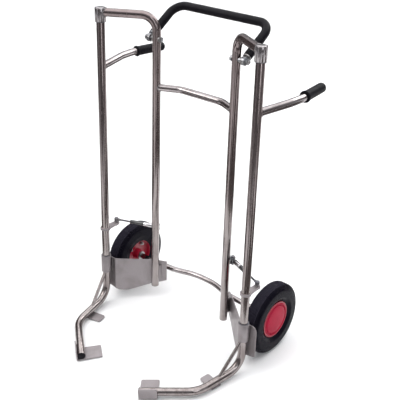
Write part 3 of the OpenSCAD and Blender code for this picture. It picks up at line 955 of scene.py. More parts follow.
class Look(Enum):
    """The finishes of the truck's pieces."""

    # TUBE has the painted top shade (tan) at full strength.
    TUBE = BrightPlate("plated_tube", (0.315, 0.284, 0.277), (0.18, 0.15, 0.146), 0.15, (70.0, 70.0, 3.0),
                       tan=1.0)
    COLLAR = BrightPlate("plated_collar", (0.36, 0.34, 0.345), (0.22, 0.2, 0.205), 0.12, (60.0, 60.0, 60.0))
    # LEVER is the same plating as TUBE in a lighter tone and without its painted top shade, painted light for
    # the cross tube, axle bar and levers.
    LEVER = BrightPlate("plated_lever", (0.34, 0.312, 0.312), (0.21, 0.188, 0.188), 0.15, (60.0, 20.0, 60.0))
    BAND = BrightPlate("spring_band", (0.52, 0.51, 0.52), (0.34, 0.33, 0.34), 0.2, (300.0, 40.0, 40.0))
    SHEET = SatinSheet("satin_sheet", (0.285, 0.26, 0.266), (0.2, 0.178, 0.182))
    ZINC = ZincPlate("bright_zinc", (0.36, 0.345, 0.335), (0.26, 0.27, 0.29), 0.24)
    DARK_ZINC = ZincPlate("dark_zinc", (0.20, 0.19, 0.19), (0.14, 0.14, 0.16), 0.3)
    WELD = ZincPlate("weld_metal", (0.27, 0.25, 0.24), (0.17, 0.16, 0.17), 0.34)
    BEARING = ZincPlate("bearing_race", (0.52, 0.51, 0.50), (0.38, 0.38, 0.40), 0.2)
    ROD = ZincPlate("spring_rod", (0.16, 0.15, 0.16), (0.11, 0.11, 0.13), 0.18)
    GLOSS_BLACK = Paint("cylinder_black", (0.012, 0.012, 0.014), (0.06, 0.06, 0.06), 0.7, 0.2)
    RIM = Paint("rim_red", (0.34, 0.005, 0.025), (0.06, 0.01, 0.012), 0.2, 0.34)
    SLEEVE = MouldedRubber("handle_sleeve", (0.004, 0.0035, 0.0055), (0.009, 0.008, 0.011), 900.0, 0.12)
    GRIP = MouldedRubber("pebbled_grip", (0.0045, 0.004, 0.006), (0.012, 0.011, 0.014), 520.0, 0.22)
    # The tyre's last colour is the painted highlight on its tread ribs.
    TYRE = TyreRubber("ribbed_tyre", (0.004, 0.0033, 0.0075), (0.009, 0.0078, 0.0135), (0.032, 0.029, 0.042))
    CAP = CapPlastic("cap_red", (0.38, 0.003, 0.032))


# Sub-assemblies


class Assembly:
    """A sub-assembly of the truck."""

    def place(self, piece: Piece, body: str, look: Look, slot: str, *nodes: str) -> None:
        """Dresses a piece and hangs it on its body.

        Args:
            piece: the piece.
            body: the body that it moves with.
            look: its finish.
            slot: the record's material slot; not used.
            *nodes: the nodes that it stands for.
        """
        piece.data.materials.clear()
        piece.data.materials.append(look.value.material())
        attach(piece, body)
        if nodes:
            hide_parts(*nodes)
        LOG.info("%s: %d faces on %s", piece.name, len(piece.data.polygons), body)

    def place_pair(self, piece: Piece, body: str, look: Look, slot: str, *nodes: str) -> None:
        """Places a right-hand piece and its mirror image.

        Args:
            piece: the right-hand piece, which has no side in its name yet.
            body: the body, with {side} for its side.
            look: the finish.
            slot: the record's material slot; passed on to place, which doesn't use it.
            *nodes: the nodes that they stand for, with {side} for their side.
        """
        stem = piece.name
        twin = mirror_image(piece, f"{stem}_{Side.LEFT.value}")
        rename(piece, f"{stem}_{Side.RIGHT.value}")
        for thing, side in ((piece, Side.RIGHT), (twin, Side.LEFT)):
            self.place(thing, body.format(side=side.value), look, slot,
                       *[node.format(side=side.value) for node in nodes])

    def place_copy(self, node: str, name: str, body: str, look: Look, slot: str, edge: float) -> None:
        """Places a softened copy of one node.

        Args:
            node: the node.
            name: the copy's name.
            body: the body that it moves with.
            look: its finish.
            slot: the record's material slot; passed on to place, which doesn't use it.
            edge: width of its rounded edges in millimetres.
        """
        self.place(soften(fused_copy(node, name), edge), body, look, slot, node)


@dataclass
class FrameTubes(Assembly):
    """The two rear tubes, the cross tube, the axle bar and the plugs."""

    bend_r: float = 52.0
    foot_z: float = 75.0
    collar_cut: tuple[float, float] = (1030.0, 1150.0)
    cross_r: float = 70.0
    cross_cut: float = 60.0
    axle_d: float = 20.0

    def rear_tube(self) -> None:
        """Builds the rear tubes, coped round the collars, and their plugs."""
        foot = STANCE.at(TRUCK.rear_x, TRUCK.rear_y, self.foot_z)
        route = TubeRoute([foot, STANCE.at(TRUCK.rear_x, TRUCK.rear_y, TRUCK.top_run_z),
                           STANCE.at(TRUCK.pivot_x, 0, TRUCK.top_run_z)], [0, self.bend_r, 0])
        piece = coped(tube("rear_tube", route, TRUCK.tube_d), TRUCK.pivot_x, 0, *self.collar_cut,
                      TRUCK.sleeve_d, 64)
        self.place_pair(piece, "frame", Look.TUBE, "chrome_tube", "{side}_rear_tube")
        plug = [(0, -12), (12, -12), (12, 0), (14, 0), (13.6, 0.9), (11.5, 2.1), (7, 2.8), (0, 3)]
        self.place_pair(spun("rear_tube_plug", plug, foot, -STANCE.up), "frame", Look.DARK_ZINC, "zinc_steel",
                        "rear_tube_plugs")

    def cross_tube(self) -> None:
        """Builds the cross tube, coped round the rear tubes."""
        x, y, z = TRUCK.cross
        ends = [(TRUCK.rear_x, TRUCK.rear_y), (x, y), (-x, y), (-TRUCK.rear_x, TRUCK.rear_y)]
        route = TubeRoute([STANCE.at(*end, z) for end in ends], [0, self.cross_r, self.cross_r, 0])
        piece = tube("cross_tube", route, TRUCK.cross_d)
        for post_x in (TRUCK.rear_x, -TRUCK.rear_x):
            coped(piece, post_x, TRUCK.rear_y, z - self.cross_cut, z + self.cross_cut, TRUCK.tube_d)
        self.place(piece, "frame", Look.LEVER, "chrome_tube", "upper_cross_tube")

    def axle_bar(self) -> None:
        """Builds the bent axle bar."""
        half = [(343, 155), (250, 155), (125, 163), (45, 190)]
        points = [STANCE.at(x, y, TRUCK.axle_z) for x, y in half + [(-x, y) for x, y in reversed(half)]]
        bar = tube("bent_axle", TubeRoute(points, [0, 300, 200, 200, 200, 200, 300, 0]), self.axle_d, 0)
        self.place(bar, "frame", Look.LEVER, "chrome_tube", "axle_bar")

    def build(self) -> None:
        """Builds the tubes."""
        self.rear_tube()
        self.cross_tube()
        self.axle_bar()


@dataclass
class Pivots(Assembly):
    """The collars, caps and sleeves that the gripper arms turn in."""

    collar_z: float = 1060.0
    collar_h: float = 43.0
    sleeve_z: float = 113.0
    sleeve_h: float = 68.0

    def ring(self, low: float, height: float, low_edge: float, top_edge: float) -> Profile:
        """Returns the outline of a collar or sleeve.

        Args:
            low: height of its lower end in millimetres.
            height: its length.
            low_edge: radius of its lower outer edge.
            top_edge: radius of its upper outer edge.
        """
        outer, inner, top = TRUCK.sleeve_d / 2, TRUCK.bush_d / 2, low + height
        bore_edge = 0.3
        return fillet([(inner, low, bore_edge), (outer, low, low_edge), (outer, top, top_edge),
                       (inner, top, bore_edge)], 3)

    def build(self) -> None:
        """Builds the collars with their caps, and the sleeves."""
        outer, top = TRUCK.sleeve_d / 2, self.collar_z + self.collar_h
        collar = self.ring(self.collar_z, self.collar_h, 0.8, 0.6)
        sleeve = self.ring(self.sleeve_z, self.sleeve_h, 1.0, 1.0)
        cap = [(0, top), (outer - 0.2, top), (outer, top + 0.5), (outer - 0.3, top + 1.5),
               (outer - 2.0, top + 2.1), (outer - 3.2, top + 2.0), (outer - 4.0, top + 2.6),
               (outer * 0.5, top + 3.6), (outer * 0.2, top + 3.95), (0, top + 4)]
        for name, profile, look, slot in (("top_collar", collar, Look.COLLAR, "chrome_tube"),
                                          ("collar_cap", cap, Look.COLLAR, "chrome_tube"),
                                          ("lower_sleeve", sleeve, Look.SHEET, "zinc_steel")):
            piece = spun(name, profile, STANCE.at(TRUCK.pivot_x, 0, 0), STANCE.up, 72)
            self.place_pair(piece, "frame", look, slot, f"{name}s")


class Plates(Assembly):
    """The folded side plates, their lugs, and the ears of the gas springs."""

    def build(self) -> None:
        """Builds the plates, their lugs and ears."""
        for node, name, look, slot, edge in (
                ("left_side_plate", "side_plate_left", Look.SHEET, "sheet_steel", 0.9),
                ("right_side_plate", "side_plate_right", Look.SHEET, "sheet_steel", 0.9),
                ("tube_lugs", "lugs", Look.SHEET, "zinc_steel", 0.6),
                ("spring_brackets", "spring_ears", Look.ZINC, "zinc_steel", 0.5)):
            self.place_copy(node, name, "frame", look, slot, edge)


@dataclass
class FrameBolts(Assembly):
    """The hinge bolts of the push handle, and the bolts that hold the gas springs to their ears."""

    head_x: float = 151.0
    washer_x: float = 203.3
    nut_x: float = 205.3
    tail_x: float = 217.0
    hinge_d: float = 10.0
    hinge_across: float = 17.0
    bore: float = 10.2
    pin_d: float = 7.9
    pin_across: float = 13.0
    ear: float = 9.5

    def hinge(self, x: float) -> Vector:
        """Returns the point of the push handle's hinge line at x."""
        return STANCE.at(x, TRUCK.rear_y, TRUCK.hinge_z)

    def pin(self, rise: float) -> Vector:
        """Returns the point of a gas spring's rear pin at a height over its middle."""
        x, y, z = TRUCK.spring_pin
        return STANCE.at(x, y, z + rise)

    def build(self) -> None:
        """Builds both pairs of bolts."""
        hinge, pin, ear, up = self.hinge, self.pin, self.ear, STANCE.up
        head = hinge(self.head_x)
        parts = [hexagon(head, -ACROSS, self.hinge_across, 6.8), washer(head, ACROSS, 20, self.bore, 3),
                 washer(hinge(TRUCK.rear_x), ACROSS, 18, self.bore, 22.7),
                 washer(hinge(self.washer_x), ACROSS, 22, self.bore, 2),
                 hexagon(hinge(self.nut_x), ACROSS, self.hinge_across, 7.8),
                 soften(cylinder("shank", head, hinge(self.tail_x), self.hinge_d, 32), 0.9)]
        self.place_pair(joined("handle_bolt", parts), "frame", Look.ZINC, "zinc_steel", "handle_bolts")
        parts = [hexagon(pin(ear), up, self.pin_across, 5.3), hexagon(pin(-ear), -up, self.pin_across, 6.5),
                 soften(cylinder("shank", pin(-ear - 9), pin(ear), self.pin_d, 32), 0.6)]
        self.place_pair(joined("spring_bolt", parts), "frame", Look.DARK_ZINC, "zinc_steel",
                        "spring_bracket_bolts")


@dataclass
class GripperArm(Assembly):
    """The gripper arms: their pivot tubes, toe plates, levers and grips."""

    body: str = "{side}_gripper"
    tube_top: float = 1097.0
    arm_h: float = 22.0
    brace_top: float = 121.0
    brace_d: float = 12.0
    brace_share: float = 0.56
    lever_cut: tuple[float, float] = (840.0, 970.0)
    lever_r: float = 150.0
    grip_from: float = 20.0
    grip_l: float = 126.0
    grip_d: float = 33.0
    collar_d: float = 38.0
    ribs: int = 13
    rib_pitch: float = 7.4

    def pivot_tube(self) -> None:
        """Builds the pivot tubes with their braces and end caps."""
        toe = [STANCE.on_floor(x, y, self.arm_h)
               for x, y in ((TRUCK.pivot_x, 0), (291.9, -180.6), (140.6, -298.8))]
        route = TubeRoute([STANCE.at(TRUCK.pivot_x, 0, self.tube_top)] + toe, [0, 65, 100, 0])
        self.place_pair(tube("pivot_tube", route, TRUCK.tube_d), self.body, Look.TUBE, "chrome_tube",
                        "{side}_pivot_tube")
        brace = TubeRoute([STANCE.at(TRUCK.pivot_x, 0, self.brace_top),
                           toe[0].lerp(toe[1], self.brace_share)], [0, 0])
        self.place_pair(tube("arm_brace", brace, self.brace_d, 0, 32), self.body, Look.TUBE, "chrome_tube",
                        "{side}_arm_brace")
        cap = [(0, -8), (11.9, -8), (11.9, 0), (14, 0), (13.7, 0.9), (12.2, 2.2), (8, 2.9), (0, 3)]
        self.place_pair(spun("arm_end_cap", cap, toe[-1], route.heading(2)), self.body, Look.GRIP,
                        "grip_rubber", "{side}_arm_end_cap")

    def lever(self) -> None:
        """Builds the levers, coped round the pivot tubes, and their ribbed grips."""
        route = TubeRoute([STANCE.at(*point) for point in TRUCK.lever], [0, self.lever_r, self.lever_r, 0])
        piece = coped(tube("lever_tube", route, TRUCK.lever_d), TRUCK.pivot_x, 0, *self.lever_cut,
                      TRUCK.tube_d)
        self.place_pair(piece, self.body, Look.LEVER, "chrome_tube", "{side}_lever_tube")
        outer, inner, brim = self.grip_d / 2, TRUCK.lever_d / 2 + 0.1, self.collar_d / 2
        profile: Profile = [(inner, 0.0), (brim - 1.4, 0.0), (brim - 0.4, 0.5), (brim, 1.5), (brim, 4.2),
                            (brim - 0.5, 5.4), (brim - 1.6, 6.0), (outer, 6.4)]
        for i in range(self.ribs):
            start = 9 + i * self.rib_pitch
            profile += [(outer - 0.5, start), (outer, start + 1.0), (outer, start + 5.2),
                        (outer - 0.5, start + 6.2)]
        nose_r = 12.0
        profile.append((outer, self.grip_l - nose_r - 4))
        for i in range(1, 7):
            turn = math.pi / 2 * i / 6
            profile.append((outer - nose_r + nose_r * math.cos(turn),
                            self.grip_l - nose_r + nose_r * math.sin(turn)))
        profile += [(0, self.grip_l), (0, self.grip_l - 5), (inner, self.grip_l - 5)]
        way = route.heading(2)
        grip = spun("grip", profile, route.points[2] + way * (self.grip_from * MM), way, 64)
        self.place_pair(grip, self.body, Look.GRIP, "grip_rubber", "{side}_grip")

    def build(self) -> None:
        """Builds both arms."""
        self.pivot_tube()
        self.lever()
        for stem, slot, edge in (("inner_toe_plate", "sheet_steel", 0.7),
                                 ("tip_toe_plate", "sheet_steel", 0.7),
                                 ("spring_lever", "zinc_steel", 0.6)):
            for side in Side:
                self.place_copy(f"{side.value}_{stem}", f"{stem}_{side.value}",
                                self.body.format(side=side.value), Look.SHEET, slot, edge)


@dataclass
class GasSpring(Assembly):
    """The gas springs between their brackets and the balls on the spring levers."""

    ball: tuple[float, float] = (329.0, 58.0)
    cavity_r: float = 6.3

    def build(self) -> None:
        """Builds both gas springs."""
        start, end = STANCE.at(*TRUCK.spring_pin), STANCE.at(*self.ball, TRUCK.spring_pin[2])
        way = (end - start).normalized()
        reach = (end - start).length / MM
        up = STANCE.up
        body, rod_body = "{side}_spring_cylinder", "{side}_spring_rod"
        shell = [(0, 15), (6.5, 15), (8.2, 15.6), (9.0, 16.4), (9.0, 17.6), (8.0, 18.6), (8.0, 52),
                 (8.0, 100), (7.3, 101.2), (7.3, 102.6), (8.0, 103.6), (8.0, 106.4), (6.9, 108),
                 (3.9, 108), (3.6, 106), (3.6, 100), (0, 100)]
        self.place_pair(spun("gas_cylinder", shell, start, way), body, Look.GLOSS_BLACK, "black_cylinder",
                        "{side}_gas_cylinder")
        band = fillet([(8.02, 20, 0.1), (8.35, 20, 0.2), (8.35, 54, 0.2), (8.02, 54, 0.1)], 2)
        self.place_pair(spun("spring_band", band, start, way), body, Look.BAND, "black_cylinder")
        eye = fillet([(4.1, -6, 0.5), (8, -6, 0.8), (8, 6, 0.8), (4.1, 6, 0.5)], 3)
        neck = fillet([(0, 7.2, 0), (4.5, 7.2, 0.2), (4.5, 15.2, 0.2), (0, 15.2, 0)], 2)
        parts = [spun("eye", eye, start, up), spun("neck", neck, start, way, 32)]
        self.place_pair(joined("cylinder_eye", parts), body, Look.ZINC, "zinc_steel", "{side}_cylinder_eye")
        rod = [(0, 100), (3.5, 100), (3.5, reach - 15.6), (0, reach - 15.6)]
        self.place_pair(spun("gas_rod", rod, start, way, 32), rod_body, Look.ROD, "polished_rod",
                        "{side}_gas_rod")
        turns = [math.radians(angle) for angle in range(0, 90, 9)]
        cavity = [(self.cavity_r * math.cos(turn), self.cavity_r * math.sin(turn)) for turn in turns]
        cup = [(0, 7), (4.5, 7), (7.2, 6.2), (8.1, 4.6), (8.1, -4.6), (7.6, -6.4), (6.9, -7),
               (self.cavity_r, -7), *cavity, (0, self.cavity_r)]
        neck = [(0, reach - 16), (4.0, reach - 16), (4.75, reach - 15.2), (4.75, reach - 6.6),
                (0, reach - 6.6)]
        parts = [spun("neck", neck, start, way, 32), spun("cup", cup, end, up)]
        self.place_pair(joined("rod_socket", parts), rod_body, Look.DARK_ZINC, "zinc_steel",
                        "{side}_rod_socket")


@dataclass
class PushHandle(Assembly):
    """The folding push handle and its end fittings."""

    body: str = "folding_handle"
    x: float = 196.0
    tilt: float = 35.0
    wall: float = 3.0
    leg_from: float = 18.0
    leg_to: float = 158.0
    bend_r: float = 45.0
    rings: int = 21
    ring_pitch: float = 3.4

    def leg(self, x: float, along: float) -> Vector:
        """Returns the point of a leg at a distance in millimetres from its hinge."""
        turn = math.radians(self.tilt)
        return STANCE.at(x, TRUCK.rear_y + along * math.cos(turn), TRUCK.hinge_z + along * math.sin(turn))

    def build(self) -> None:
        """Builds the handle, the fine rings on its legs and its end fittings."""
        corners = [self.leg(self.x, self.leg_from), self.leg(self.x, self.leg_to),
                   self.leg(-self.x, self.leg_to), self.leg(-self.x, self.leg_from)]
        route = TubeRoute(corners, [0, self.bend_r, self.bend_r, 0])
        bar = tube("handle_tube", route, TRUCK.tube_d, self.wall)
        self.place(bar, self.body, Look.SLEEVE, "black_handle", "push_handle")
        base = self.leg(self.x, 0)
        way = (self.leg(self.x, 1) - base).normalized()
        outer, first = TRUCK.tube_d / 2, self.leg_from + 3
        profile: Profile = [(outer - 1.0, first)]
        for i in range(self.rings):
            start = first + 0.5 + i * self.ring_pitch
            profile += [(outer - 0.2, start), (outer + 0.35, start + 0.7), (outer + 0.35, start + 1.9),
                        (outer - 0.2, start + 2.6)]
        profile.append((outer - 1.0, first + self.rings * self.ring_pitch))
        self.place_pair(spun("handle_rings", profile, base, way, 64), self.body, Look.SLEEVE, "black_handle")
        eye = fillet([(5.1, -7, 0.6), (13.5, -7, 1.4), (13.5, 7, 1.4), (5.1, 7, 0.6)], 3)
        neck = [(0, 9), (7.4, 9), (7.0, 12.6), (8.4, 13.8), (13.6, 14), (14, 14.6), (14, 17.4), (13.6, 18),
                (11, 18), (11, 30), (0, 30)]
        parts = [spun("eye", eye, base, ACROSS, 64), spun("neck", neck, base, way)]
        self.place_pair(joined("handle_fitting", parts), self.body, Look.ZINC, "zinc_steel", "handle_fittings")


@dataclass
class Wheel(Assembly):
    """The wheels: their ribbed tyres, dished rims, rim bolts and hub caps."""

    side_grooves: int = 8
    groove_w: float = 1.6
    groove_d: float = 2.0
    bolt_count: int = 4
    bolt_ring_r: float = 42.0
    bolt_across: float = 13.0
    bolt_d: float = 7.9
    bolt_tail: float = 16.0
    web: tuple[float, float] = (-5.0, -2.0)

    def tyre_profile(self) -> Profile:
        """Returns the tyre's closed outline, with grooves that follow its crown round to the shoulders."""
        crown = [(110, 29, 16), (TRUCK.axle_z, 18, 12), (TRUCK.axle_z, 0, 0)]
        inner = fillet([(61.2, -19.6, 0), (61.2, -22.7, 0.3), (56.6, -22.9, 0.6), (58.5, -24.6, 1.4),
                        (66, -26.2, 4), (81, -30, 10), *[(r, -x, edge) for r, x, edge in crown]], 10)
        outer = fillet([(61.2, 19.6, 0), (66.4, 19.6, 0.6), (81, 30, 12), *crown], 10)
        return self.grooved(inner)[:-1] + list(reversed(self.grooved(outer)))

    def grooved(self, half: Profile) -> Profile:
        """Cuts the grooves into one half of the outline.

        Args:
            half: the outline from the bead to the middle of the tread.

        Returns:
            The same half with its grooves.
        """
        path = [Vector(point) for point in half]
        run = [0.0]
        for near, far in zip(reversed(path[:-1]), reversed(path[1:])):
            run.append(run[-1] + (far - near).length)
        run.reverse()

        def on(distance: float, depth: float) -> tuple[float, float]:
            """Returns the point at a distance from the tread's middle and a depth under the surface."""
            i = max(j for j in range(len(path) - 1) if run[j] >= distance)
            point = path[i].lerp(path[i + 1], (run[i] - distance) / (run[i] - run[i + 1]))
            way = (path[i + 1] - path[i]).normalized()
            return tuple(point + Vector((-abs(way.y), -math.copysign(way.x, point.y))) * depth)

        pitch, edge = TRUCK.rib_pitch, self.groove_w / 2
        steps = [(edge + 0.9, 0.12), (edge + 0.25, 0.5), (edge * 0.6, self.groove_d)]
        last = (self.side_grooves - 0.5) * pitch + 1.5
        made: Profile = [point for point, left in zip(half, run) if left > last]
        for k in range(self.side_grooves, 0, -1):
            made += [on(k * pitch + reach, depth) for reach, depth in steps]
            made += [on(k * pitch - reach, depth) for reach, depth in reversed(steps)]
            made.append(on((k - 0.5) * pitch, 0))
        return made + [on(reach, depth) for reach, depth in steps] + [(half[-1][0] - self.groove_d, 0.0)]

    def rim_profile(self) -> Profile:
        """Returns the rim's closed outline: a barrel with two lips, a web and a hub."""
        return fillet([(16, -30, 0.6), (20, -30, 0.8), (20, -5, 1.5), (55, -5, 4), (55, -20.5, 1.5),
                       (56, -22.6, 0.8), (61, -22.6, 0.6), (61, 19.7, 1.2), (66, 20.6, 1), (66, 23, 1),
                       (60, 23, 2), (55, 19.7, 2), (55, -2, 4), (20, -2, 1.5), (20, 12, 0.8),
                       (16, 12, 0.6)], 4)

    def cap_profile(self) -> Profile:
        """Returns the hub cap's closed outline: a crowned disc, a recess, a raised rim and a clip ring."""
        face = [(0, 28), (14, 27.85), (28, 27.3), (40, 26.4), (48.5, 25.3), (50.6, 24.8), (51.6, 23.6),
                (52.2, 21.4), (54.4, 21.4), (55.2, 23.6), (56.2, 24.6), (58.4, 24.7), (60.2, 24.1),
                (61, 22.8), (60.4, 22.6)]
        back = [(55.4, 22.4), (54.8, 20.6), (54.8, 14), (52.8, 14), (52.0, 19.4), (50.0, 21.8),
                (40, 24.2), (28, 25.2), (14, 25.8), (0, 26)]
        return face + back

    def bolts(self) -> Piece:
        """Makes the rim bolts, nuts and washers of the right wheel, as one piece."""
        parts = []
        for k in range(self.bolt_count):
            turn = math.radians(45 + 360 * k / self.bolt_count)
            spot = HUB + Vector((0, math.cos(turn), math.sin(turn))) * self.bolt_ring_r * MM
            back, front = (spot + ACROSS * face * MM for face in self.web)
            tail, tip = spot - ACROSS * self.bolt_tail * MM, spot + ACROSS * 2 * MM
            parts += [hexagon(front, ACROSS, self.bolt_across, 5),
                      hexagon(back, -ACROSS, self.bolt_across, 6.5),
                      washer(back, -ACROSS, 16, 8.2, 1.2),
                      soften(cylinder("shank", tail, tip, self.bolt_d, 24), 0.7)]
        return joined("rim_bolts", parts)

    def build(self) -> None:
        """Builds both wheels."""
        for name, profile, steps, look, slot in (
                ("tyre", self.tyre_profile(), 144, Look.TYRE, "tyre_rubber"),
                ("rim", self.rim_profile(), 96, Look.RIM, "red_rim"),
                ("hub_cap", self.cap_profile(), 128, Look.CAP, "red_cap")):
            self.place_pair(spun(name, profile, HUB, ACROSS, steps), "{side}_wheel", look, slot,
                            "{side}_" + name)
        self.place_pair(self.bolts(), "{side}_wheel", Look.ZINC, "zinc_steel", "{side}_rim_bolts")


@dataclass
class Welds(Assembly):
    """The weld beads of the frame and the arms."""

    seam_x: tuple[float, float] = (317.5, 306.5)
    seam_y: float = 12.0
    seam_z: tuple[float, float] = (116.0, 165.0)
    hub_z: tuple[float, float] = (290.0, 298.0)
    hub_r: float = 14.4

    def build(self) -> None:
        """Lays the beads."""
        x, rear_x, rear_y, z = TRUCK.pivot_x, TRUCK.rear_x, TRUCK.rear_y, TRUCK.top_run_z
        cross_x, cross_y, cross_z = TRUCK.cross
        start, knee = (Vector(point) for point in TRUCK.lever[:2])
        tube_r = TRUCK.tube_d / 2
        beads = [
            weld_bead(STANCE.at(x, 0, z), STANCE.way(rear_x - x, rear_y, 0), tube_r, 2.2, TRUCK.sleeve_d / 2),
            weld_bead(STANCE.at(rear_x, rear_y, cross_z), STANCE.way(cross_x - rear_x, cross_y - rear_y, 0),
                      TRUCK.cross_d / 2, 2.0, tube_r)]
        beads += [seam(*[STANCE.at(edge, self.seam_y, height) for height in self.seam_z], 1.8)
                  for edge in self.seam_x]
        self.place_pair(joined("frame_welds", beads), "frame", Look.WELD, "chrome_tube")
        beads = [weld_bead(STANCE.at(*start), STANCE.way(*(knee - start)), TRUCK.lever_d / 2, 2.0, tube_r)]
        beads += [weld_bead(STANCE.at(x, 0, height), STANCE.up, self.hub_r, 1.8) for height in self.hub_z]
        self.place_pair(joined("arm_welds", beads), "{side}_gripper", Look.TUBE, "chrome_tube")


class CarriedOver(Assembly):
    """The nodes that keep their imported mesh, each with a finish of its own."""

    def build(self) -> None:
        """Dresses every node that still shows."""
        choice = {"upper_bushes": Look.DARK_ZINC, "lower_bushes": Look.DARK_ZINC, "axle_retainers": Look.ZINC,
                  "top_retainer": Look.ZINC, "ball_stud": Look.ZINC, "gas_piston": Look.ROD,
                  "wheel_bearings": Look.BEARING}
        for name, node in frame["nodes"].items():
            if node.hide_render:
                continue
            look = choice.get(name.removeprefix("left_").removeprefix("right_"))
            if look is None:
                LOG.warning("%s keeps its packed finish", name)
                continue
            for seat in node.material_slots:
                seat.material = look.value.material()
            LOG.info("%s: packed mesh, %s", name, look.value.name)


# Studio


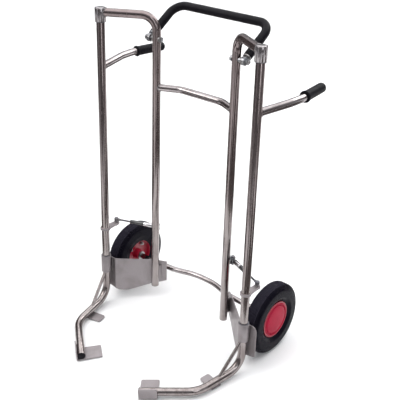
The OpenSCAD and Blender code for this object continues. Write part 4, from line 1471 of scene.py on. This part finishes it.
@dataclass
class Studio:
    """The floor, lights and camera.

    Attributes:
        azimuth: the camera's way round the truck, in degrees.
        elevation: its height in degrees.
        roll: its roll in degrees.
        lens: its focal length in millimetres.
        spot: its place in upright millimetres.
        floor_half: half the width of the floor, in metres.
        dark: the colour of the cards that the bright metal sees.
    """

    azimuth: float = 39.80665
    elevation: float = 25.61523
    roll: float = 1.91033
    lens: float = 71.31
    spot: tuple[float, float, float] = (1596.8, -1768.8, 1663.7)
    floor_half: float = 8.0
    dark: Colour = (0.10, 0.085, 0.083)

    def camera(self) -> None:
        """Places the camera."""
        a, e, r = (math.radians(v) for v in (self.azimuth, self.elevation, self.roll))
        back = Vector((math.sin(a) * math.cos(e), -math.cos(a) * math.cos(e), math.sin(e)))
        right = Vector((math.cos(a), math.sin(a), 0))
        up = back.cross(right)
        axes = [STANCE.way(*axis) for axis in (math.cos(r) * right + math.sin(r) * up,
                                               -math.sin(r) * right + math.cos(r) * up, back)]
        matrix = Matrix([[axis[i] for axis in axes] for i in range(3)]).to_4x4()
        matrix.translation = STANCE.at(*self.spot)
        data = bpy.data.cameras.new("camera")
        data.lens = self.lens
        data.sensor_width = 36
        data.clip_start = 0.05
        camera = bpy.data.objects.new("camera", data)
        bpy.context.scene.collection.objects.link(camera)
        camera.matrix_world = matrix
        bpy.context.scene.camera = camera

    def stand(self, finish: Finish, name: str, *blind: str) -> None:
        """Finishes the primitive just added and makes it part of the studio.

        Args:
            finish: its finish.
            name: its name.
            *blind: the kinds of ray that don't meet it.
        """
        piece = settle(name)
        piece.data.materials.append(finish.material())
        for kind in blind:
            setattr(piece, f"visible_{kind}", False)

    def room(self) -> None:
        """Lays the floor and stands a pale round backdrop that only the camera sees, for the low views."""
        deselect()
        bpy.ops.mesh.primitive_plane_add(size=self.floor_half * 2, location=(0, 0, 0))
        self.stand(Card("studio_floor", (0.86, 0.86, 0.86)), "floor")
        deselect()
        bpy.ops.mesh.primitive_cylinder_add(vertices=96, radius=self.floor_half * 0.98, depth=16,
                                            location=(0, 0, 7.9), end_fill_type="NOTHING")
        self.stand(LitCloth("backdrop_cloth", (0.86, 0.86, 0.87)), "backdrop", "diffuse", "glossy", "shadow")

    def lamp(self, name: str, place: tuple[float, float, float], size: tuple[float, float], watts: float,
             tone: Colour) -> None:
        """Hangs a soft rectangular lamp that faces the truck.

        Args:
            name: the lamp's name.
            place: where it hangs, in metres.
            size: its width and height in metres.
            watts: its power.
            tone: its colour.
        """
        data = bpy.data.lights.new(name, "AREA")
        data.shape = "RECTANGLE"
        data.size, data.size_y = size
        data.energy = watts
        data.color = tone
        lamp = bpy.data.objects.new(name, data)
        lamp.location = place
        lamp.rotation_euler = (Vector((0, 0, 0.5)) - Vector(place)).to_track_quat("-Z", "Y").to_euler()
        bpy.context.scene.collection.objects.link(lamp)

    def card(self, name: str, place: Vector, turn: Sequence[float], size: tuple[float, float]) -> None:
        """Puts up a dark card that only the bright metal sees.

        Args:
            name: the card's name.
            place: its middle, in metres.
            turn: its rotation.
            size: its width and height in metres.
        """
        deselect()
        bpy.ops.mesh.primitive_plane_add(size=1.0, location=place, rotation=turn)
        bpy.context.object.scale = (*size, 1)
        self.stand(Card(name, self.dark), name, "camera", "diffuse", "shadow")

    def cards(self) -> None:
        """Stands three cards round the truck and lays strips that run outwards from it on the floor."""
        for name, place, size in (("left", (-3.2, 0.6, 1.0), (1.2, 3.0)),
                                  ("front", (0.3, -4.2, 1.1), (1.0, 3.4)),
                                  ("right", (3.6, 1.2, 1.0), (1.0, 3.0))):
            way = Vector((0, 0, 0.6)) - Vector(place)
            self.card(f"dark_card_{name}", Vector(place), way.to_track_quat("Z", "Y").to_euler(), size)
        start, reach, lift = 0.75, 5.0, 0.001
        strips = ((-20, 1.3), (-62, 0.7), (35, 1.2), (110, 1.4), (165, 1.1), (222, 0.9))
        for i, (azimuth, width) in enumerate(strips):
            turn = math.radians(azimuth)
            middle = Vector((math.cos(turn), math.sin(turn), 0)) * (reach / 2 + start)
            middle.z = lift
            self.card(f"dark_strip_{i}", middle, (0, 0, turn), (reach, width))

    def world(self) -> None:
        """Sets a pale surround with darker zones round the horizon, which the bright tubes pick up."""
        world = bpy.data.worlds.new("studio")
        bpy.context.scene.world = world
        world.use_nodes = True
        nodes = Nodes(world.node_tree, "Generated")
        around = nodes.node("Math", {0: nodes.coordinate("Y"), 1: nodes.coordinate("X")}, operation="ARCTAN2")
        broad = (around * 3 + 0.6).sine().above(-0.25, 0.35)
        narrow = (around * 7 + 1.9).sine().above(-0.2, 0.3)
        zones = broad * 0.6 + narrow * 0.4
        rise = nodes.coordinate("Z").above(0.25, 0.75)
        background = world.node_tree.nodes["Background"]
        nodes.put(background.inputs["Color"],
                  nodes.blend(rise + (1 - rise) * zones, (0.10, 0.085, 0.085), (0.95, 0.96, 1.0)))
        background.inputs["Strength"].default_value = 0.6

    def build(self) -> None:
        """Builds the studio."""
        self.room()
        self.camera()
        self.world()
        self.lamp("key", (-1.9, -2.2, 3.4), (2.2, 2.2), 62, (1.0, 0.98, 0.96))
        self.lamp("fill", (3.0, -1.4, 2.2), (0.8, 2.6), 24, (0.94, 0.97, 1.0))
        self.lamp("rim", (0.6, 3.2, 2.6), (2.8, 1.4), 42, (1.0, 1.0, 1.0))
        self.lamp("sky", (-0.6, 1.0, 5.5), (10.0, 10.0), 560, (1.0, 1.0, 1.0))
        self.cards()
        view = bpy.context.scene.view_settings
        view.view_transform = "Standard"
        view.look = "None"
        view.exposure = 0.0


def main() -> None:
    """Builds the truck and its studio."""
    logging.basicConfig(level=logging.INFO, format="%(message)s")
    for builder in (FrameTubes, Pivots, Plates, FrameBolts, GripperArm, GasSpring, PushHandle, Wheel, Welds,
                    CarriedOver):
        LOG.info("Building %s", builder.__name__)
        builder().build()
    Studio().build()


if __name__ == "__main__":
    main()
